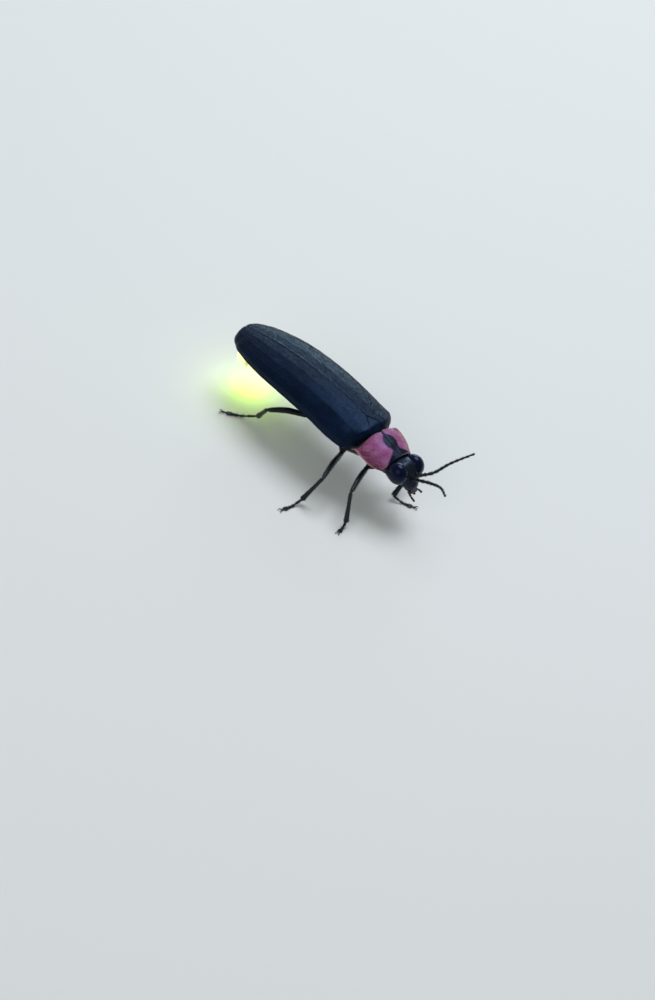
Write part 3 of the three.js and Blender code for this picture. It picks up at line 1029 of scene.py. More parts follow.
@dataclass(frozen=True)
class WingCases:
    """The two long shells over the back, each with four faint ribs, parted by the seam."""

    scutellum: Scutellum
    length: float = WING_CASE_LENGTH
    arch: float = 0.53
    tip_drop: float = 0.67
    axis_depth: float = 1.5
    shell: float = 0.13
    seam: float = 0.016
    rib_height: float = 0.015
    rib_width: float = 0.042
    bead_height: float = 0.035
    shoulder_height: float = 0.09
    swell: float = 0.045
    base_lead: float = 0.12
    base_slant: float = 0.44
    shoulder_reach: float = 1.7
    base_share: float = 0.09
    base_roll: float = 0.24
    roll_share: float = 0.026
    tip_share: float = 0.93
    tip_notch: float = 0.07
    rib_places: tuple[float, ...] = (0.2, 0.4, 0.6, 0.8)
    ripple_height: float = 0.006
    fold: float = 0.22
    steps: int = 210
    columns: int = 84
    form: Profile = Profile(
        (0, 1.48, 0.92),
        (0.03, 1.84, 1.13),
        (0.1, 2.06, 1.24),
        (0.25, 2.14, 1.24),
        (0.5, 2.15, 1.15),
        (0.7, 2.03, 1.0),
        (0.85, 1.7, 0.8),
        (0.93, 1.36, 0.62),
        (0.98, 0.72, 0.44),
        (1, 0.28, 0.35),
    )
    tip_form: Profile = Profile(
        (0.9, 1.52**2), (0.93, 1.36**2), (0.97, 1.08**2), (0.988, 0.8**2), (1, 0.0)
    )
    coat: Coat = Coat(length=0.14, width=0.008, lift=0.14, per_square_mm=260)

    def back_line(self, along: np.ndarray) -> np.ndarray:
        """Height of the seam along the cases, from 0 at the base to 1 at the tip."""
        return self.arch * 4 * along * (1 - along) - self.tip_drop * along**2

    def surface(self, along: np.ndarray, across: np.ndarray) -> np.ndarray:
        """Shapes the outer face of the left case.

        Args:
            along: Shares from the base to the tip.
            across: Shares from the seam to the side.

        Returns:
            Places on the insect.
        """
        half_width, drop = self.form(along)
        tip = np.sqrt(np.maximum(self.tip_form(along)[0], 0))
        half_width = np.where(along > self.tip_share, tip, half_width)
        forward = -self.length * along
        base = ease(self.base_share, 0, along)
        notch = self.scutellum.half_width(forward + self.base_lead * base)
        inner = np.minimum(np.maximum(self.seam / 2, notch), half_width)
        angle = across * math.pi / 2
        back = self.back_line(along)
        left = inner + (half_width - inner) * np.sin(angle)
        up = back - drop * (1 - np.cos(angle))
        forward = forward + self.tip_notch * bump(left, 0.12) * ease(0.97, 1, along)
        shoulder_share = np.clip(left / self.shoulder_reach, 0, 1)
        lead = self.base_lead - self.base_slant * shoulder_share**3
        forward = forward + lead * base
        outward = unit(
            np.stack([np.zeros_like(left), left, up - back + self.axis_depth], axis=-1)
        )
        middle = np.sin(math.pi * np.clip(along, 0, 1)) ** 0.5
        ribs = sum(bump(across - place, self.rib_width) for place in self.rib_places)
        edge = bump(1 - across, 0.035) + 0.6 * bump(across, 0.025)
        shoulder = bump(along - 0.075, 0.05) * bump(across - 0.62, 0.16)
        ripple = np.sin(along * 61 + across * 5) * np.sin(across * 17 - along * 23)
        roll = np.maximum(0, 1 - along / self.roll_share) ** 2
        raised = (
            self.swell * np.sin(math.pi * across) * middle
            + self.rib_height * ribs * middle
            + self.bead_height * edge * middle
            + self.shoulder_height * shoulder
            + self.ripple_height * ripple * middle
            - self.base_roll * roll
        )
        return np.stack([forward, left, up], axis=-1) + raised[..., None] * outward

    def faces(self) -> tuple[np.ndarray, np.ndarray]:
        """Builds the left case.

        Returns:
            Points of its outer and inner faces, in rows and columns.
        """
        along = rounded(0, 1, self.steps, 0.7)[:, None]
        across = rounded(0, 1, self.columns, 0.6)[None, :]
        along, across = np.broadcast_arrays(along, across)
        outer = self.surface(along, across)
        axis = np.stack(
            [outer[..., 0], 0 * along, self.back_line(along) - self.axis_depth], axis=-1
        )
        inward = unit(axis - outer)
        rolled = self.fold * ease(0.93, 1, across)[..., None] * np.array([0, -1.0, 0.35])
        thin = 1 - 0.6 * ease(0.96, 1, along)[..., None]
        inner = outer + self.shell * thin * inward + rolled * thin
        inner[..., 1] = np.maximum(inner[..., 1], outer[..., 1] * 0.4)
        inner[:, 0, 1] = outer[:, 0, 1] - self.seam / 2
        return outer, inner

    def build(self) -> None:
        """Builds both cases and the fine hair that lies back along them."""
        chitin, hair = CASE_CHITIN.material(), DARK_HAIR.material()
        outer, inner = self.faces()
        for side in Side:
            flip = np.array([1, side.value, 1])
            draft = Draft()
            draft.shell(outer * flip, inner * flip)
            name = f"wing_case_{side.word}"
            case = draft.to_object(f"{name}_shell", chitin, Slot.CASE)
            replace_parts(case, name)
            coat = Draft()
            rng = np.random.default_rng(11 + side.value)
            self.coat.grow(coat, outer * flip, rng)
            coat.to_object(f"{name}_hair", hair, Slot.CASE, sealed=False)


@dataclass(frozen=True)
class NeckShield:
    """The domed shield over the neck, with a thin clear rim and a dark mark."""

    rear: float = 0.15
    length: float = 2.05
    front_curve: float = 0.5
    slope: float = 0.5
    nod: float = 1.4
    rim: float = 0.2
    rim_starts: float = 0.84
    dome_degrees: float = 72
    steps: int = 110
    columns: int = 150
    axis_depth: float = 2.8
    thickness: float = 0.2
    rim_thickness: float = 0.05
    tuck: float = 0.24
    tuck_ends: float = 0.14
    corner_reach: float = 0.3
    sinus_depth: float = 0.02
    groove_depth: float = 0.018
    dent_depth: float = 0.09
    pillow_height: float = 0.05
    boss_height: float = 0.035
    bead_height: float = 0.03
    turned_up: float = 0.05
    fold_share: float = 0.94
    fold_drop: float = 0.045
    fold_thickness: float = 0.06
    fold_sag: float = 0.07
    neck_reach: float = 0.8
    neck_level: float = 0.42
    rim_paint: float = 0.75
    # Strengths of the painted shade at the sides and along the rear edge.
    side_blush: float = 0.9
    rear_blush: float = 0.5
    form: Profile = Profile(
        (0, 1.68, 0.76), (0.3, 1.7, 0.8), (0.7, 1.58, 0.82), (1, 1.32, 0.76)
    )
    mark_form: Profile = Profile(
        (0.1, 0.24),
        (0.25, 0.15),
        (0.45, 0.08),
        (0.62, 0.13),
        (0.76, 0.3),
        (0.95, 0.4),
        (1.2, 0.42),
        (1.42, 0.35),
        (1.58, 0.27),
        (1.7, 0.3),
        (1.85, 0.54),
        (2.05, 0.95),
        (2.25, 1.3),
    )
    neck_form: Profile = Profile(
        (0.0, 0.85, -0.7, -1.9),
        (0.15, 0.98, -0.62, -1.98),
        (0.6, 1.1, -0.5, -2.1),
        (1.2, 1.0, -0.6, -2.05),
        (1.7, 1.0, -0.68, -1.95),
        (2.15, 0.92, -0.76, -1.8),
    )
    coat: Coat = Coat(length=0.12, width=0.007, lift=0.25, per_square_mm=220)

    def crown(self, along: np.ndarray) -> np.ndarray:
        """Height of the shield's middle line, from 0 at the rear to 1 at the front."""
        tucked = self.tuck * np.maximum(0, 1 - along / self.tuck_ends) ** 2
        return -self.slope * along**self.nod - tucked

    def surface(self, along: np.ndarray, across: np.ndarray) -> np.ndarray:
        """Shapes the upper face.

        Args:
            along: Shares from the rear to the front.
            across: From -1 at the right rim to 1 at the left rim.

        Returns:
            Places on the insect.
        """
        half_width, drop = self.form(along)
        reach = np.abs(across)
        dome_angle = math.radians(self.dome_degrees)
        angle = np.minimum(reach / self.rim_starts, 1) * dome_angle
        rim = np.maximum(0, (reach - self.rim_starts) / (1 - self.rim_starts))
        dome = (half_width - self.rim) * np.sin(angle) / math.sin(dome_angle)
        left = np.sign(across) * (dome + self.rim * rim)
        side = (1 - np.cos(angle)) / (1 - math.cos(dome_angle))
        up = self.crown(along) - drop * (side + 0.06 * rim)
        corner = self.corner_reach * ease(0.6, 1, reach) * (1 - along) ** 3
        sinus = self.sinus_depth * bump(reach - 0.45, 0.2) * (1 - along) ** 4
        front = self.length - self.front_curve * reach**3
        forward = self.rear - corner + sinus + along * front
        groove = bump(left, 0.08) * ease(0.0, 0.15, along) * (1 - ease(0.75, 1, along))
        dent = bump(reach - 0.62, 0.13) * bump(along - 0.08, 0.09)
        pillow = bump(reach - 0.38, 0.22) * bump(along - 0.45, 0.35)
        boss = bump(left, 0.3) * bump(along - 0.52, 0.14)
        beads = bump(along, 0.025) + bump(1 - along, 0.03)
        turned = ease(0.3, 1, rim) + ease(0.93, 1, along) * (1 - rim)
        raised = (
            self.pillow_height * pillow
            + self.boss_height * boss
            + self.bead_height * beads
            + self.turned_up * turned
            - self.groove_depth * groove
            - self.dent_depth * dent
        )
        return np.stack([forward, left, up + raised], axis=-1)

    def build(self) -> None:
        """Builds the shield, the folded side pieces below it and its short hair."""
        along = rounded(0, 1, self.steps, 0.7)[:, None]
        across = rounded(-1, 1, self.columns, 0.5)[None, :]
        along, across = np.broadcast_arrays(along, across)
        outer = self.surface(along, across)
        forward = outer[..., 0]
        axis = np.stack([forward, 0 * along, self.crown(along) - self.axis_depth], axis=-1)
        inward = unit(axis - outer)
        edge = np.maximum(ease(0.8, 1, np.abs(across)), ease(0.85, 1, along))
        depth = self.thickness * (1 - edge) + self.rim_thickness * edge
        inner = outer + depth[..., None] * inward
        draft = Draft()
        mark = self.mark(outer)
        rim = np.maximum(ease(0.86, 0.97, np.abs(across)), 0.8 * ease(0.95, 1, along))
        # Painted shade: darker rose where the shield curves down at its sides and along its rear
        # edge.
        side_blush = self.side_blush * ease(0.45, 0.85, np.abs(across))
        blush = side_blush + self.rear_blush * bump(along, 0.12)
        # The inner face takes the mark's black from the middle forward: painted shade under the
        # shield.
        draft.shell(
            outer,
            inner,
            mark=np.hstack([mark, np.maximum(mark, ease(0.3, 1.0, forward))[:, ::-1]]),
            rim=rim * (1 - mark) * self.rim_paint,
            blush=np.clip(blush, 0, 1),
        )
        self.add_folds(draft)
        shield = draft.to_object("neck_shield_plate", ShieldCuticle().material(), Slot.ROSE)
        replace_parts(shield, "neck_shield")
        coat = Draft()
        rng = np.random.default_rng(5)
        self.coat.grow(coat, outer[::-1], rng, marking=self.mark)
        coat.to_object("neck_shield_hair", PALE_HAIR.material(), Slot.ROSE, sealed=False)

    def mark(self, places: np.ndarray) -> np.ndarray:
        """How dark the mark is at places on the shield, with a soft edge."""
        forward, left, _ = np.moveaxis(places, -1, 0)
        return 1 - ease(0.82, 1.12, np.abs(left) / self.mark_form(forward)[0])

    def add_folds(self, draft: Draft) -> None:
        """Adds the side pieces that fold in from below the rim to the neck.

        Args:
            draft: The shield's mesh.
        """
        along = rounded(0.03, 0.97, 50, 0.6)[:, None]
        share = rounded(0, 1, 30, 0.6)[None, :]
        along, share = np.broadcast_arrays(along, share)
        start = self.surface(along, np.full_like(share, self.fold_share)) - self.fold_drop * UP
        neck_half_width, neck_top, neck_bottom = self.neck_form(start[..., 0])
        end_left = self.neck_reach * neck_half_width
        end_up = neck_top + self.neck_level * (neck_bottom - neck_top)
        end_up = np.minimum(end_up, start[..., 2] - 0.05)
        sag = self.fold_sag * np.sin(share * math.pi)
        left = start[..., 1] + share * (end_left - start[..., 1])
        up = start[..., 2] + share * (end_up - start[..., 2]) - sag
        for side in Side:
            outer = np.stack([start[..., 0], left * side.value, up], axis=-1)
            # Painted shade on the folds below the shield: darker rose towards the neck, black at
            # the front.
            dark = ease(1.45, 1.85, outer[..., 0])
            inner = outer + self.fold_thickness * UP
            draft.shell(outer, inner, blush=0.4 + 0.6 * share, mark=dark)


@dataclass(frozen=True)
class Sleeve:
    """A length of the trunk: oval sections from half width, top and bottom."""

    form: Profile
    front: float
    rear: float
    steps: int = 60
    sides: int = 72

    def grid(self, carve: Callable[[np.ndarray, np.ndarray], np.ndarray]) -> np.ndarray:
        """Builds the surface.

        Args:
            carve: Gives how far it is raised, from places forward and angles round it.

        Returns:
            Points in rows from front to rear and columns round it.
        """
        places = rounded(self.front, self.rear, self.steps, 0.7)[:, None]
        angles = (np.arange(self.sides) * 2 * math.pi / self.sides)[None, :]
        places, angles = np.broadcast_arrays(places, angles)
        half_width, top, bottom = self.form(places)
        raised = carve(places, angles)
        left = (half_width + raised) * np.cos(angles)
        up = (top + bottom) / 2 + ((top - bottom) / 2 + raised) * np.sin(angles)
        return np.stack([places, left, up], axis=-1)


@dataclass(frozen=True)
class Thorax:
    """The neck ring below the shield, and the chest with its plates."""

    neck: Sleeve = Sleeve(NeckShield.neck_form, front=2.15, rear=0.0, steps=80)
    chest: Sleeve = Sleeve(
        Profile(
            (-4.85, 0.9, -0.75, -2.0),
            (-4.75, 1.1, -0.68, -2.15),
            (-4.3, 1.26, -0.5, -2.35),
            (-3.0, 1.38, -0.35, -2.55),
            (-1.5, 1.36, -0.38, -2.52),
            (-0.5, 1.26, -0.36, -2.25),
            (0.0, 1.2, -0.4, -1.96),
            (0.2, 1.1, -0.46, -1.6),
            (0.32, 0.8, -0.56, -1.2),
        ),
        front=0.32,
        rear=-4.85,
        steps=170,
        sides=144,
    )
    hip_plate: tuple[tuple[float, float, float], ...] = (
        (-4.34, 0.04, -2.22),
        (-4.4, 0.55, -2.16),
        (-4.3, 1.02, -1.8),
        (-4.2, 1.2, -1.4),
    )
    hip_plate_form: Profile = Profile(
        (0, 0.1, 0.06), (0.12, 0.24, 0.16), (0.5, 0.26, 0.19), (0.85, 0.16, 0.1), (1, 0.05, 0.03)
    )
    skin_fold_depth: float = 0.03
    keel_height: float = 0.05
    seam_depth: float = 0.04
    pocket_depth: float = 0.07
    swell_height: float = 0.07
    bare_share: float = 0.45
    coat: Coat = Coat(length=0.13, width=0.01, lift=0.25, per_square_mm=60)

    def carve_neck(self, forward: np.ndarray, angle: np.ndarray) -> np.ndarray:
        """Raises folds of soft skin towards the head, and a ridge between the front legs.

        Args:
            forward: Places along the body.
            angle: Angles round it, from the left and up.

        Returns:
            How far the skin is raised.
        """
        folds = (np.cos(forward * 22) + 1) * ease(1.45, 1.75, forward)
        below = bump(np.cos(angle), 0.12) * (np.sin(angle) < 0)
        keel = below * ease(0.2, 0.5, forward) * (1 - ease(1.2, 1.5, forward))
        return self.keel_height * keel - self.skin_fold_depth * folds

    def carve_chest(self, forward: np.ndarray, angle: np.ndarray) -> np.ndarray:
        """Sinks the seams between the chest's plates, and the hollows that take the hips.

        Args:
            forward: Places along the body.
            angle: Angles round it, from the left and up.

        Returns:
            How far the plates are raised.
        """
        reach, low = np.abs(np.cos(angle)), -np.sin(angle)
        below = ease(-0.1, 0.1, low)
        middle = bump(reach, 0.03) * below * ease(-4.3, -4.1, forward)
        rear = ease(-1.9, -2.05, forward)
        seams = (
            middle
            + 0.8 * bump(forward + 1.95 - 0.3 * reach, 0.045)
            + bump(low - 0.42 - 0.07 * (forward + 3), 0.035) * rear
            + bump(low - 0.06 - 0.05 * (forward + 3), 0.03) * rear
            + bump(forward + 1.05 + 0.7 * (low - 0.3), 0.035) * (1 - rear) * below
            + bump(forward + 4.15 + 0.25 * reach, 0.035) * below
        )
        pocket = bump(forward + 1.6, 0.3) * bump(reach - 0.33, 0.2) * below
        rear_pocket = bump(forward + 4.45, 0.2) * bump(reach - 0.35, 0.25) * below
        swell = bump(forward + 3.1, 0.8) * bump(reach - 0.4, 0.35) * below
        return (
            self.swell_height * swell
            - self.seam_depth * np.clip(seams, 0, 1)
            - self.pocket_depth * (pocket + rear_pocket)
        )

    def haired(self, _: np.ndarray, column: np.ndarray) -> np.ndarray:
        """Keeps the hair below the wing cases, by the share of the way round."""
        return (column > self.bare_share).astype(float)

    def build(self) -> None:
        """Builds both sleeves, and the chest's hair."""
        neck = Draft()
        neck.grid(self.neck.grid(self.carve_neck), ring=True, ends=True)
        ring = neck.to_object("neck_skin", BROWN_CHITIN.material(), Slot.BROWN)
        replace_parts(ring, "neck_ring")
        draft = Draft()
        skin = self.chest.grid(self.carve_chest)
        draft.grid(skin, ring=True, ends=True)
        for side in Side:
            path = Path(*(on_side(place, side) for place in self.hip_plate))
            draft.grid(tube(path, self.hip_plate_form, 40, 32), ring=True, ends=True)
        chest = draft.to_object("chest_plates", BLACK_CHITIN.material(), Slot.BLACK)
        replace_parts(chest, "chest")
        coat = Draft()
        self.coat.grow(coat, skin, np.random.default_rng(7), ring=True, thin=self.haired)
        coat.to_object("chest_hair", DARK_HAIR.material(), Slot.BLACK, sealed=False)


@dataclass(frozen=True)
class Abdomen:
    """The belly's overlapping plates, the lamp's two pale plates and the last back plate."""

    belly_form: Profile = Profile(
        (-8.6, 1.07, -1.0, -2.38),
        (-6.5, 1.2, -0.72, -2.28),
        (-5.2, 1.24, -0.7, -2.22),
        (-4.75, 1.12, -0.75, -2.12),
    )
    lamp_form: Profile = Profile(
        (-10.62, 0.1, -1.94, -2.14),
        (-10.59, 0.44, -1.82, -2.27),
        (-10.46, 0.8, -1.7, -2.42),
        (-9.95, 1.1, -1.56, -2.6),
        (-9.4, 1.07, -1.48, -2.52),
        (-8.9, 1.03, -1.38, -2.42),
        (-8.4, 1.04, -1.26, -2.38),
    )
    tail_form: Profile = Profile(
        (-10.4, 0.1, -1.36, -1.56),
        (-10.36, 0.42, -1.22, -1.66),
        (-9.8, 0.96, -0.96, -1.64),
        (-8.4, 1.04, -0.76, -1.5),
    )
    belly_front: float = -4.75
    belly_rear: float = -8.45
    lamp_rear: float = -10.62
    tail_front: float = -8.4
    tail_rear: float = -10.4
    belly_plates: int = 5
    overlap: float = 1.04
    lamp_gap: float = 0.03
    lip: float = 0.05
    lip_turn: float = 0.08
    bow: float = 0.12
    crease_depth: float = 0.07
    groove_depth: float = 0.03
    puff_height: float = 0.02
    bare_share: float = 0.4
    lamp_offset: float = 0.1
    lip_dimming: float = 0.6
    end_dimming: float = 0.1
    # How much the glow weakens towards the sides, as painted shade.
    side_shade_dimming: float = 0.25
    coat: Coat = Coat(length=0.14, width=0.01, lift=0.25, per_square_mm=60)

    def plate(self, form: Profile, front: float, rear: float, rounded_rear: bool) -> np.ndarray:
        """Builds one plate: drawn in at the front, full at the rear, its lip turned in.

        Args:
            form: The sections that it follows.
            front: Where its front lies.
            rear: Where its rear lies.
            rounded_rear: Whether it ends the body and so needs no lip.

        Returns:
            Points in rows and columns.
        """
        length = front - rear

        def carve(forward: np.ndarray, angle: np.ndarray) -> np.ndarray:
            """Draws the plate in at its ends, and creases its sides.

            Args:
                forward: Places along the body.
                angle: Angles round it, from the left and up.

            Returns:
                How far the plate stands off its form.
            """
            share = (front - forward) / length
            drawn_in = -self.lip * (1 - ease(0, 0.35, share))
            lip_share = np.maximum(0, (share - 0.94) / 0.06)
            turned = 0.0 if rounded_rear else -self.lip_turn * lip_share**2
            height = np.sin(angle)
            crease = -self.crease_depth * bump(height - 0.12, 0.1)
            groove = -self.groove_depth * bump(height + 0.35, 0.05)
            puff = self.puff_height * bump(share - 0.6, 0.3)
            return drawn_in + turned + crease + groove + puff

        skin = Sleeve(form, front, rear, steps=40, sides=120).grid(carve)
        half_width = form(skin[..., 0])[0]
        share = (front - skin[..., 0]) / length
        bow = self.bow * (skin[..., 1] / half_width) ** 2
        skin[..., 0] += bow * (share * (1 - share) * 2 if rounded_rear else share)
        return skin

    def haired(self, _: np.ndarray, column: np.ndarray) -> np.ndarray:
        """Keeps the hair on the plates' lower half, by the share of the way round."""
        return (column > self.bare_share).astype(float)

    def build(self) -> None:
        """Builds the belly, the lamp, the tail plate and the belly's hair."""
        belly, coat, rng = Draft(), Draft(), np.random.default_rng(3)
        step = (self.belly_rear - self.belly_front) / self.belly_plates
        for index in range(self.belly_plates):
            front = self.belly_front + step * index
            skin = self.plate(self.belly_form, front, front + step * self.overlap, False)
            belly.grid(skin, ring=True, ends=True)
            strip = (index, self.belly_plates)
            self.coat.grow(coat, skin, rng, ring=True, thin=self.haired, strip=strip)
        plates = belly.to_object("belly_plates", BROWN_CHITIN.material(), Slot.BROWN)
        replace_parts(plates, "belly")
        coat.to_object("belly_hair", DARK_HAIR.material(), Slot.BROWN, sealed=False)
        self.build_lamp()
        tail = Draft()
        skin = self.plate(self.tail_form, self.tail_front, self.tail_rear, True)
        tail.grid(skin, ring=True, ends=True)
        last = tail.to_object("tail_plate_shell", BROWN_CHITIN.material(), Slot.BROWN)
        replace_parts(last, "tail_plate")

    def build_lamp(self) -> None:
        """Builds the lamp's plates, painted with how hot each point glows."""
        lamp = Draft()
        front = self.belly_rear + self.lamp_gap
        split = (front + self.lamp_rear) / 2 + self.lamp_offset
        plates = ((front, split - self.lamp_gap, False), (split, self.lamp_rear, True))
        for start, end, last in plates:
            skin = self.plate(self.lamp_form, start, end, last)
            share = (start - skin[..., 0]) / (start - end)
            faded = self.end_dimming if last else self.lip_dimming
            core = ease(0, 0.25, share) * (1 - faded * ease(0.85, 1, share))
            lower = ease(-1.4, -1.8, skin[..., 2])
            # Painted shade in the glow: it weakens towards the plates' sides so their round form
            # reads.
            aside = 1 - self.side_shade_dimming * np.clip(np.abs(skin[..., 1]) / 1.1, 0, 1) ** 3
            lamp.grid(skin, ring=True, ends=True, core=np.clip(core * lower * aside, 0, 1))
        organ = lamp.to_object("lamp_organ", LampTissue().material(), Slot.LAMP)
        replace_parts(organ, "lamp")


@dataclass(frozen=True)
class Eye:
    """A compound eye: a ball of small domed lenses in a hexagonal pattern.

    The real lenses are near 0.025 mm across. They are drawn at about 0.045 mm, which is as
    fine as the render can show.
    """

    forward: float = 2.68
    left: float = 0.64
    up: float = -1.1
    radii: tuple[float, float, float] = (0.65, 0.54, 0.67)
    dome: float = 0.0035
    ball_level: int = 5
    split: int = 3

    def lenses(self) -> tuple[np.ndarray, np.ndarray, np.ndarray]:
        """Splits the triangles of a fine ball and domes each lens about a corner of it.

        Returns:
            Unit directions, how close each is to a lens's middle, and triangles.
        """
        ball = bmesh.new()
        bmesh.ops.create_icosphere(ball, subdivisions=self.ball_level, radius=1)
        corners = np.array([vertex.co[:] for vertex in ball.verts])
        faces = np.array([[vertex.index for vertex in face.verts] for face in ball.faces])
        ball.free()
        steps = self.split
        weights = [
            (i / steps, j / steps, (steps - i - j) / steps)
            for i in range(steps + 1)
            for j in range(steps + 1 - i)
        ]
        number = {(round(a * steps), round(b * steps)): n for n, (a, b, _) in enumerate(weights)}
        small = []
        for i in range(steps):
            for j in range(steps - i):
                small.append((number[i, j], number[i + 1, j], number[i, j + 1]))
                if i + j < steps - 1:
                    small.append((number[i + 1, j], number[i + 1, j + 1], number[i, j + 1]))
        share = np.array(weights)
        points = np.einsum("wc,fcx->fwx", share, corners[faces])
        closeness = np.broadcast_to(share.max(axis=1), points.shape[:2])
        triangles = np.arange(len(faces))[:, None, None] * len(weights) + np.array(small)[None]
        return unit(points).reshape(-1, 3), closeness.reshape(-1), triangles.reshape(-1, 3)

    def build(self) -> None:
        """Builds both eyes."""
        cornea = EyeCornea().material()
        directions, closeness, triangles = self.lenses()
        _, first, welded = np.unique(
            np.round(directions, 5), axis=0, return_index=True, return_inverse=True
        )
        directions, closeness = directions[first], closeness[first]
        triangles = welded.reshape(-1)[triangles]
        lens = ease(0.34, 0.9, closeness)
        for side in Side:
            centre = on_side((self.forward, self.left, self.up), side)
            points = centre + directions * (np.array(self.radii) + self.dome * lens[:, None])
            draft = Draft()
            draft.patch(points, triangles, lens=lens)
            name = f"eye_{side.word}"
            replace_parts(draft.to_object(f"{name}_lens", cornea, Slot.EYE), name)


@dataclass(frozen=True)
class Head:
    """The head capsule, sunk between the eyes, with the antennae's sockets on its face."""

    sleeve: Sleeve = Sleeve(
        Profile(
            (1.95, 0.84, -0.74, -1.8),
            (2.1, 1.02, -0.62, -1.84),
            (2.4, 1.06, -0.55, -1.92),
            (2.75, 0.94, -0.52, -1.97),
            (3.1, 0.74, -0.74, -2.0),
            (3.4, 0.47, -1.2, -2.02),
            (3.58, 0.28, -1.5, -1.97),
            (3.64, 0.14, -1.62, -1.9),
            (3.66, 0.04, -1.7, -1.8),
        ),
        front=3.66,
        rear=1.95,
        steps=90,
        sides=110,
    )
    socket_form: Profile = round_sections((0, 0.17), (0.5, 0.16), (0.85, 0.14), (1, 0.11))
    socket_base: tuple[float, float, float] = (3.16, 0.17, -1.3)
    socket_top: tuple[float, float, float] = (3.33, 0.2, -1.2)
    hollow_depth: float = 0.04
    brow_height: float = 0.04
    crease_depth: float = 0.03
    coat: Coat = Coat(length=0.11, width=0.009, lift=0.45, per_square_mm=110)

    def carve(self, forward: np.ndarray, angle: np.ndarray) -> np.ndarray:
        """Carves the hollow between the eyes, the brow ridges and the crease above the lip.

        Args:
            forward: Places along the body.
            angle: Angles round it, from the left and up.

        Returns:
            How far the capsule is raised.
        """
        across = np.cos(angle)
        above = np.sin(angle) > 0
        hollow = bump(across, 0.25) * above * bump(forward - 3.0, 0.35)
        brow = bump(np.abs(across) - 0.42, 0.1) * above * bump(forward - 3.25, 0.15)
        crease = bump(forward - 3.54, 0.02) * above
        sunk = self.hollow_depth * hollow + self.crease_depth * crease
        return self.brow_height * brow - sunk

    def build(self) -> None:
        """Builds the capsule with its sockets, and its short hair."""
        draft = Draft()
        skin = self.sleeve.grid(self.carve)
        draft.grid(skin, ring=True, ends=True)
        for side in Side:
            path = Path(on_side(self.socket_base, side), on_side(self.socket_top, side))
            draft.grid(tube(path, self.socket_form, 14, 24), ring=True, ends=True)
        capsule = draft.to_object("head_capsule", BLACK_CHITIN.material(), Slot.BLACK)
        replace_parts(capsule, "head")
        coat = Draft()
        self.coat.grow(coat, skin, np.random.default_rng(21), ring=True)
        coat.to_object("head_hair", DARK_HAIR.material(), Slot.BLACK, sealed=False)


@dataclass(frozen=True)
class Mouthparts:
    """The upper lip, two curved jaws, and two pairs of jointed palps."""

    lip_line: tuple[tuple[float, float, float], ...] = (
        (3.6, 0, -1.86),
        (3.62, 0, -2.02),
        (3.56, 0, -2.16),
    )
    chin_line: tuple[tuple[float, float, float], ...] = (
        (2.9, 0, -1.92),
        (3.2, 0, -2.06),
        (3.44, 0, -2.12),
    )
    outer_root: tuple[float, float, float] = (3.32, 0.16, -2.15)
    inner_root: tuple[float, float, float] = (3.4, 0.07, -2.18)
    inner_tip: tuple[float, float, float] = (3.6, 0.13, -2.4)
    jaw_line: tuple[tuple[float, float, float], ...] = (
        (3.42, 0.17, -2.04),
        (3.59, 0.22, -2.08),
        (3.67, 0.03, -2.14),
    )
    palp_tips: tuple[tuple[Side, tuple[float, float, float]], ...] = (
        (Side.RIGHT, (3.9, -0.05, -2.62)),
        (Side.LEFT, (3.86, 0.46, -2.2)),
    )
    outer_joints: int = 4
    inner_joints: int = 3
    joint: Profile = Profile(
        (0, 0.035, 0.035),
        (0.15, 0.05, 0.05),
        (0.75, 0.07, 0.062),
        (0.95, 0.055, 0.05),
        (1, 0.02, 0.02),
    )
    last_joint: Profile = Profile(
        (0, 0.035, 0.035),
        (0.3, 0.075, 0.06),
        (0.6, 0.085, 0.06),
        (0.9, 0.04, 0.035),
        (1, 0.01, 0.01),
    )
    lip_form: Profile = Profile(
        (0, 0.2, 0.05), (0.5, 0.22, 0.06), (0.85, 0.17, 0.05), (1, 0.04, 0.02)
    )
    chin_form: Profile = Profile(
        (0, 0.2, 0.08), (0.4, 0.3, 0.13), (0.8, 0.24, 0.1), (1, 0.08, 0.04)
    )
    jaw_form: Profile = Profile(
        (0, 0.09, 0.07), (0.4, 0.07, 0.05), (0.8, 0.035, 0.03), (1, 0.006, 0.006)
    )

    def palp(
        self, draft: Draft, root: np.ndarray, tip: np.ndarray, side: Side, joints: int
    ) -> None:
        """Adds a palp: joints in a bent row, the last one spindle shaped.

        Args:
            draft: The mesh that takes it.
            root: Where it leaves the mouth.
            tip: Where it ends.
            side: The side it bends towards.
            joints: Number of joints.
        """
        bend = root + 0.45 * (tip - root) + np.array([0.02, side.value * 0.1, 0.06])
        path = Path(root, bend, tip)
        for index in range(joints):
            start, end = path.at(np.array([index, index + 1.04]) / joints)
            form = self.last_joint if index == joints - 1 else self.joint
            draft.grid(tube(Path(start, end), form, 18, 16), ring=True, ends=True)

    def build(self) -> None:
        """Builds the lip, the jaws and the palps."""
        soft, hard = Draft(), Draft()
        lip = tube(Path(*self.lip_line), self.lip_form, 20, 28, FORWARD)
        soft.grid(lip, ring=True, ends=True)
        chin = tube(Path(*self.chin_line), self.chin_form, 30, 28)
        soft.grid(chin, ring=True, ends=True)
        for side, tip in self.palp_tips:
            root = on_side(self.outer_root, side)
            self.palp(soft, root, np.array(tip), side, self.outer_joints)
            inner_root = on_side(self.inner_root, side)
            self.palp(soft, inner_root, on_side(self.inner_tip, side), side, self.inner_joints)
            jaw = Path(*(on_side(place, side) for place in self.jaw_line))
            hard.grid(tube(jaw, self.jaw_form, 26, 18), ring=True, ends=True)
        pieces = soft.to_object("mouth_lip_and_palps", BROWN_CHITIN.material(), Slot.BROWN)
        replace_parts(pieces, "mouthparts")
        hard.to_object("mouth_jaws", CLAW_CHITIN.material(), Slot.BROWN)


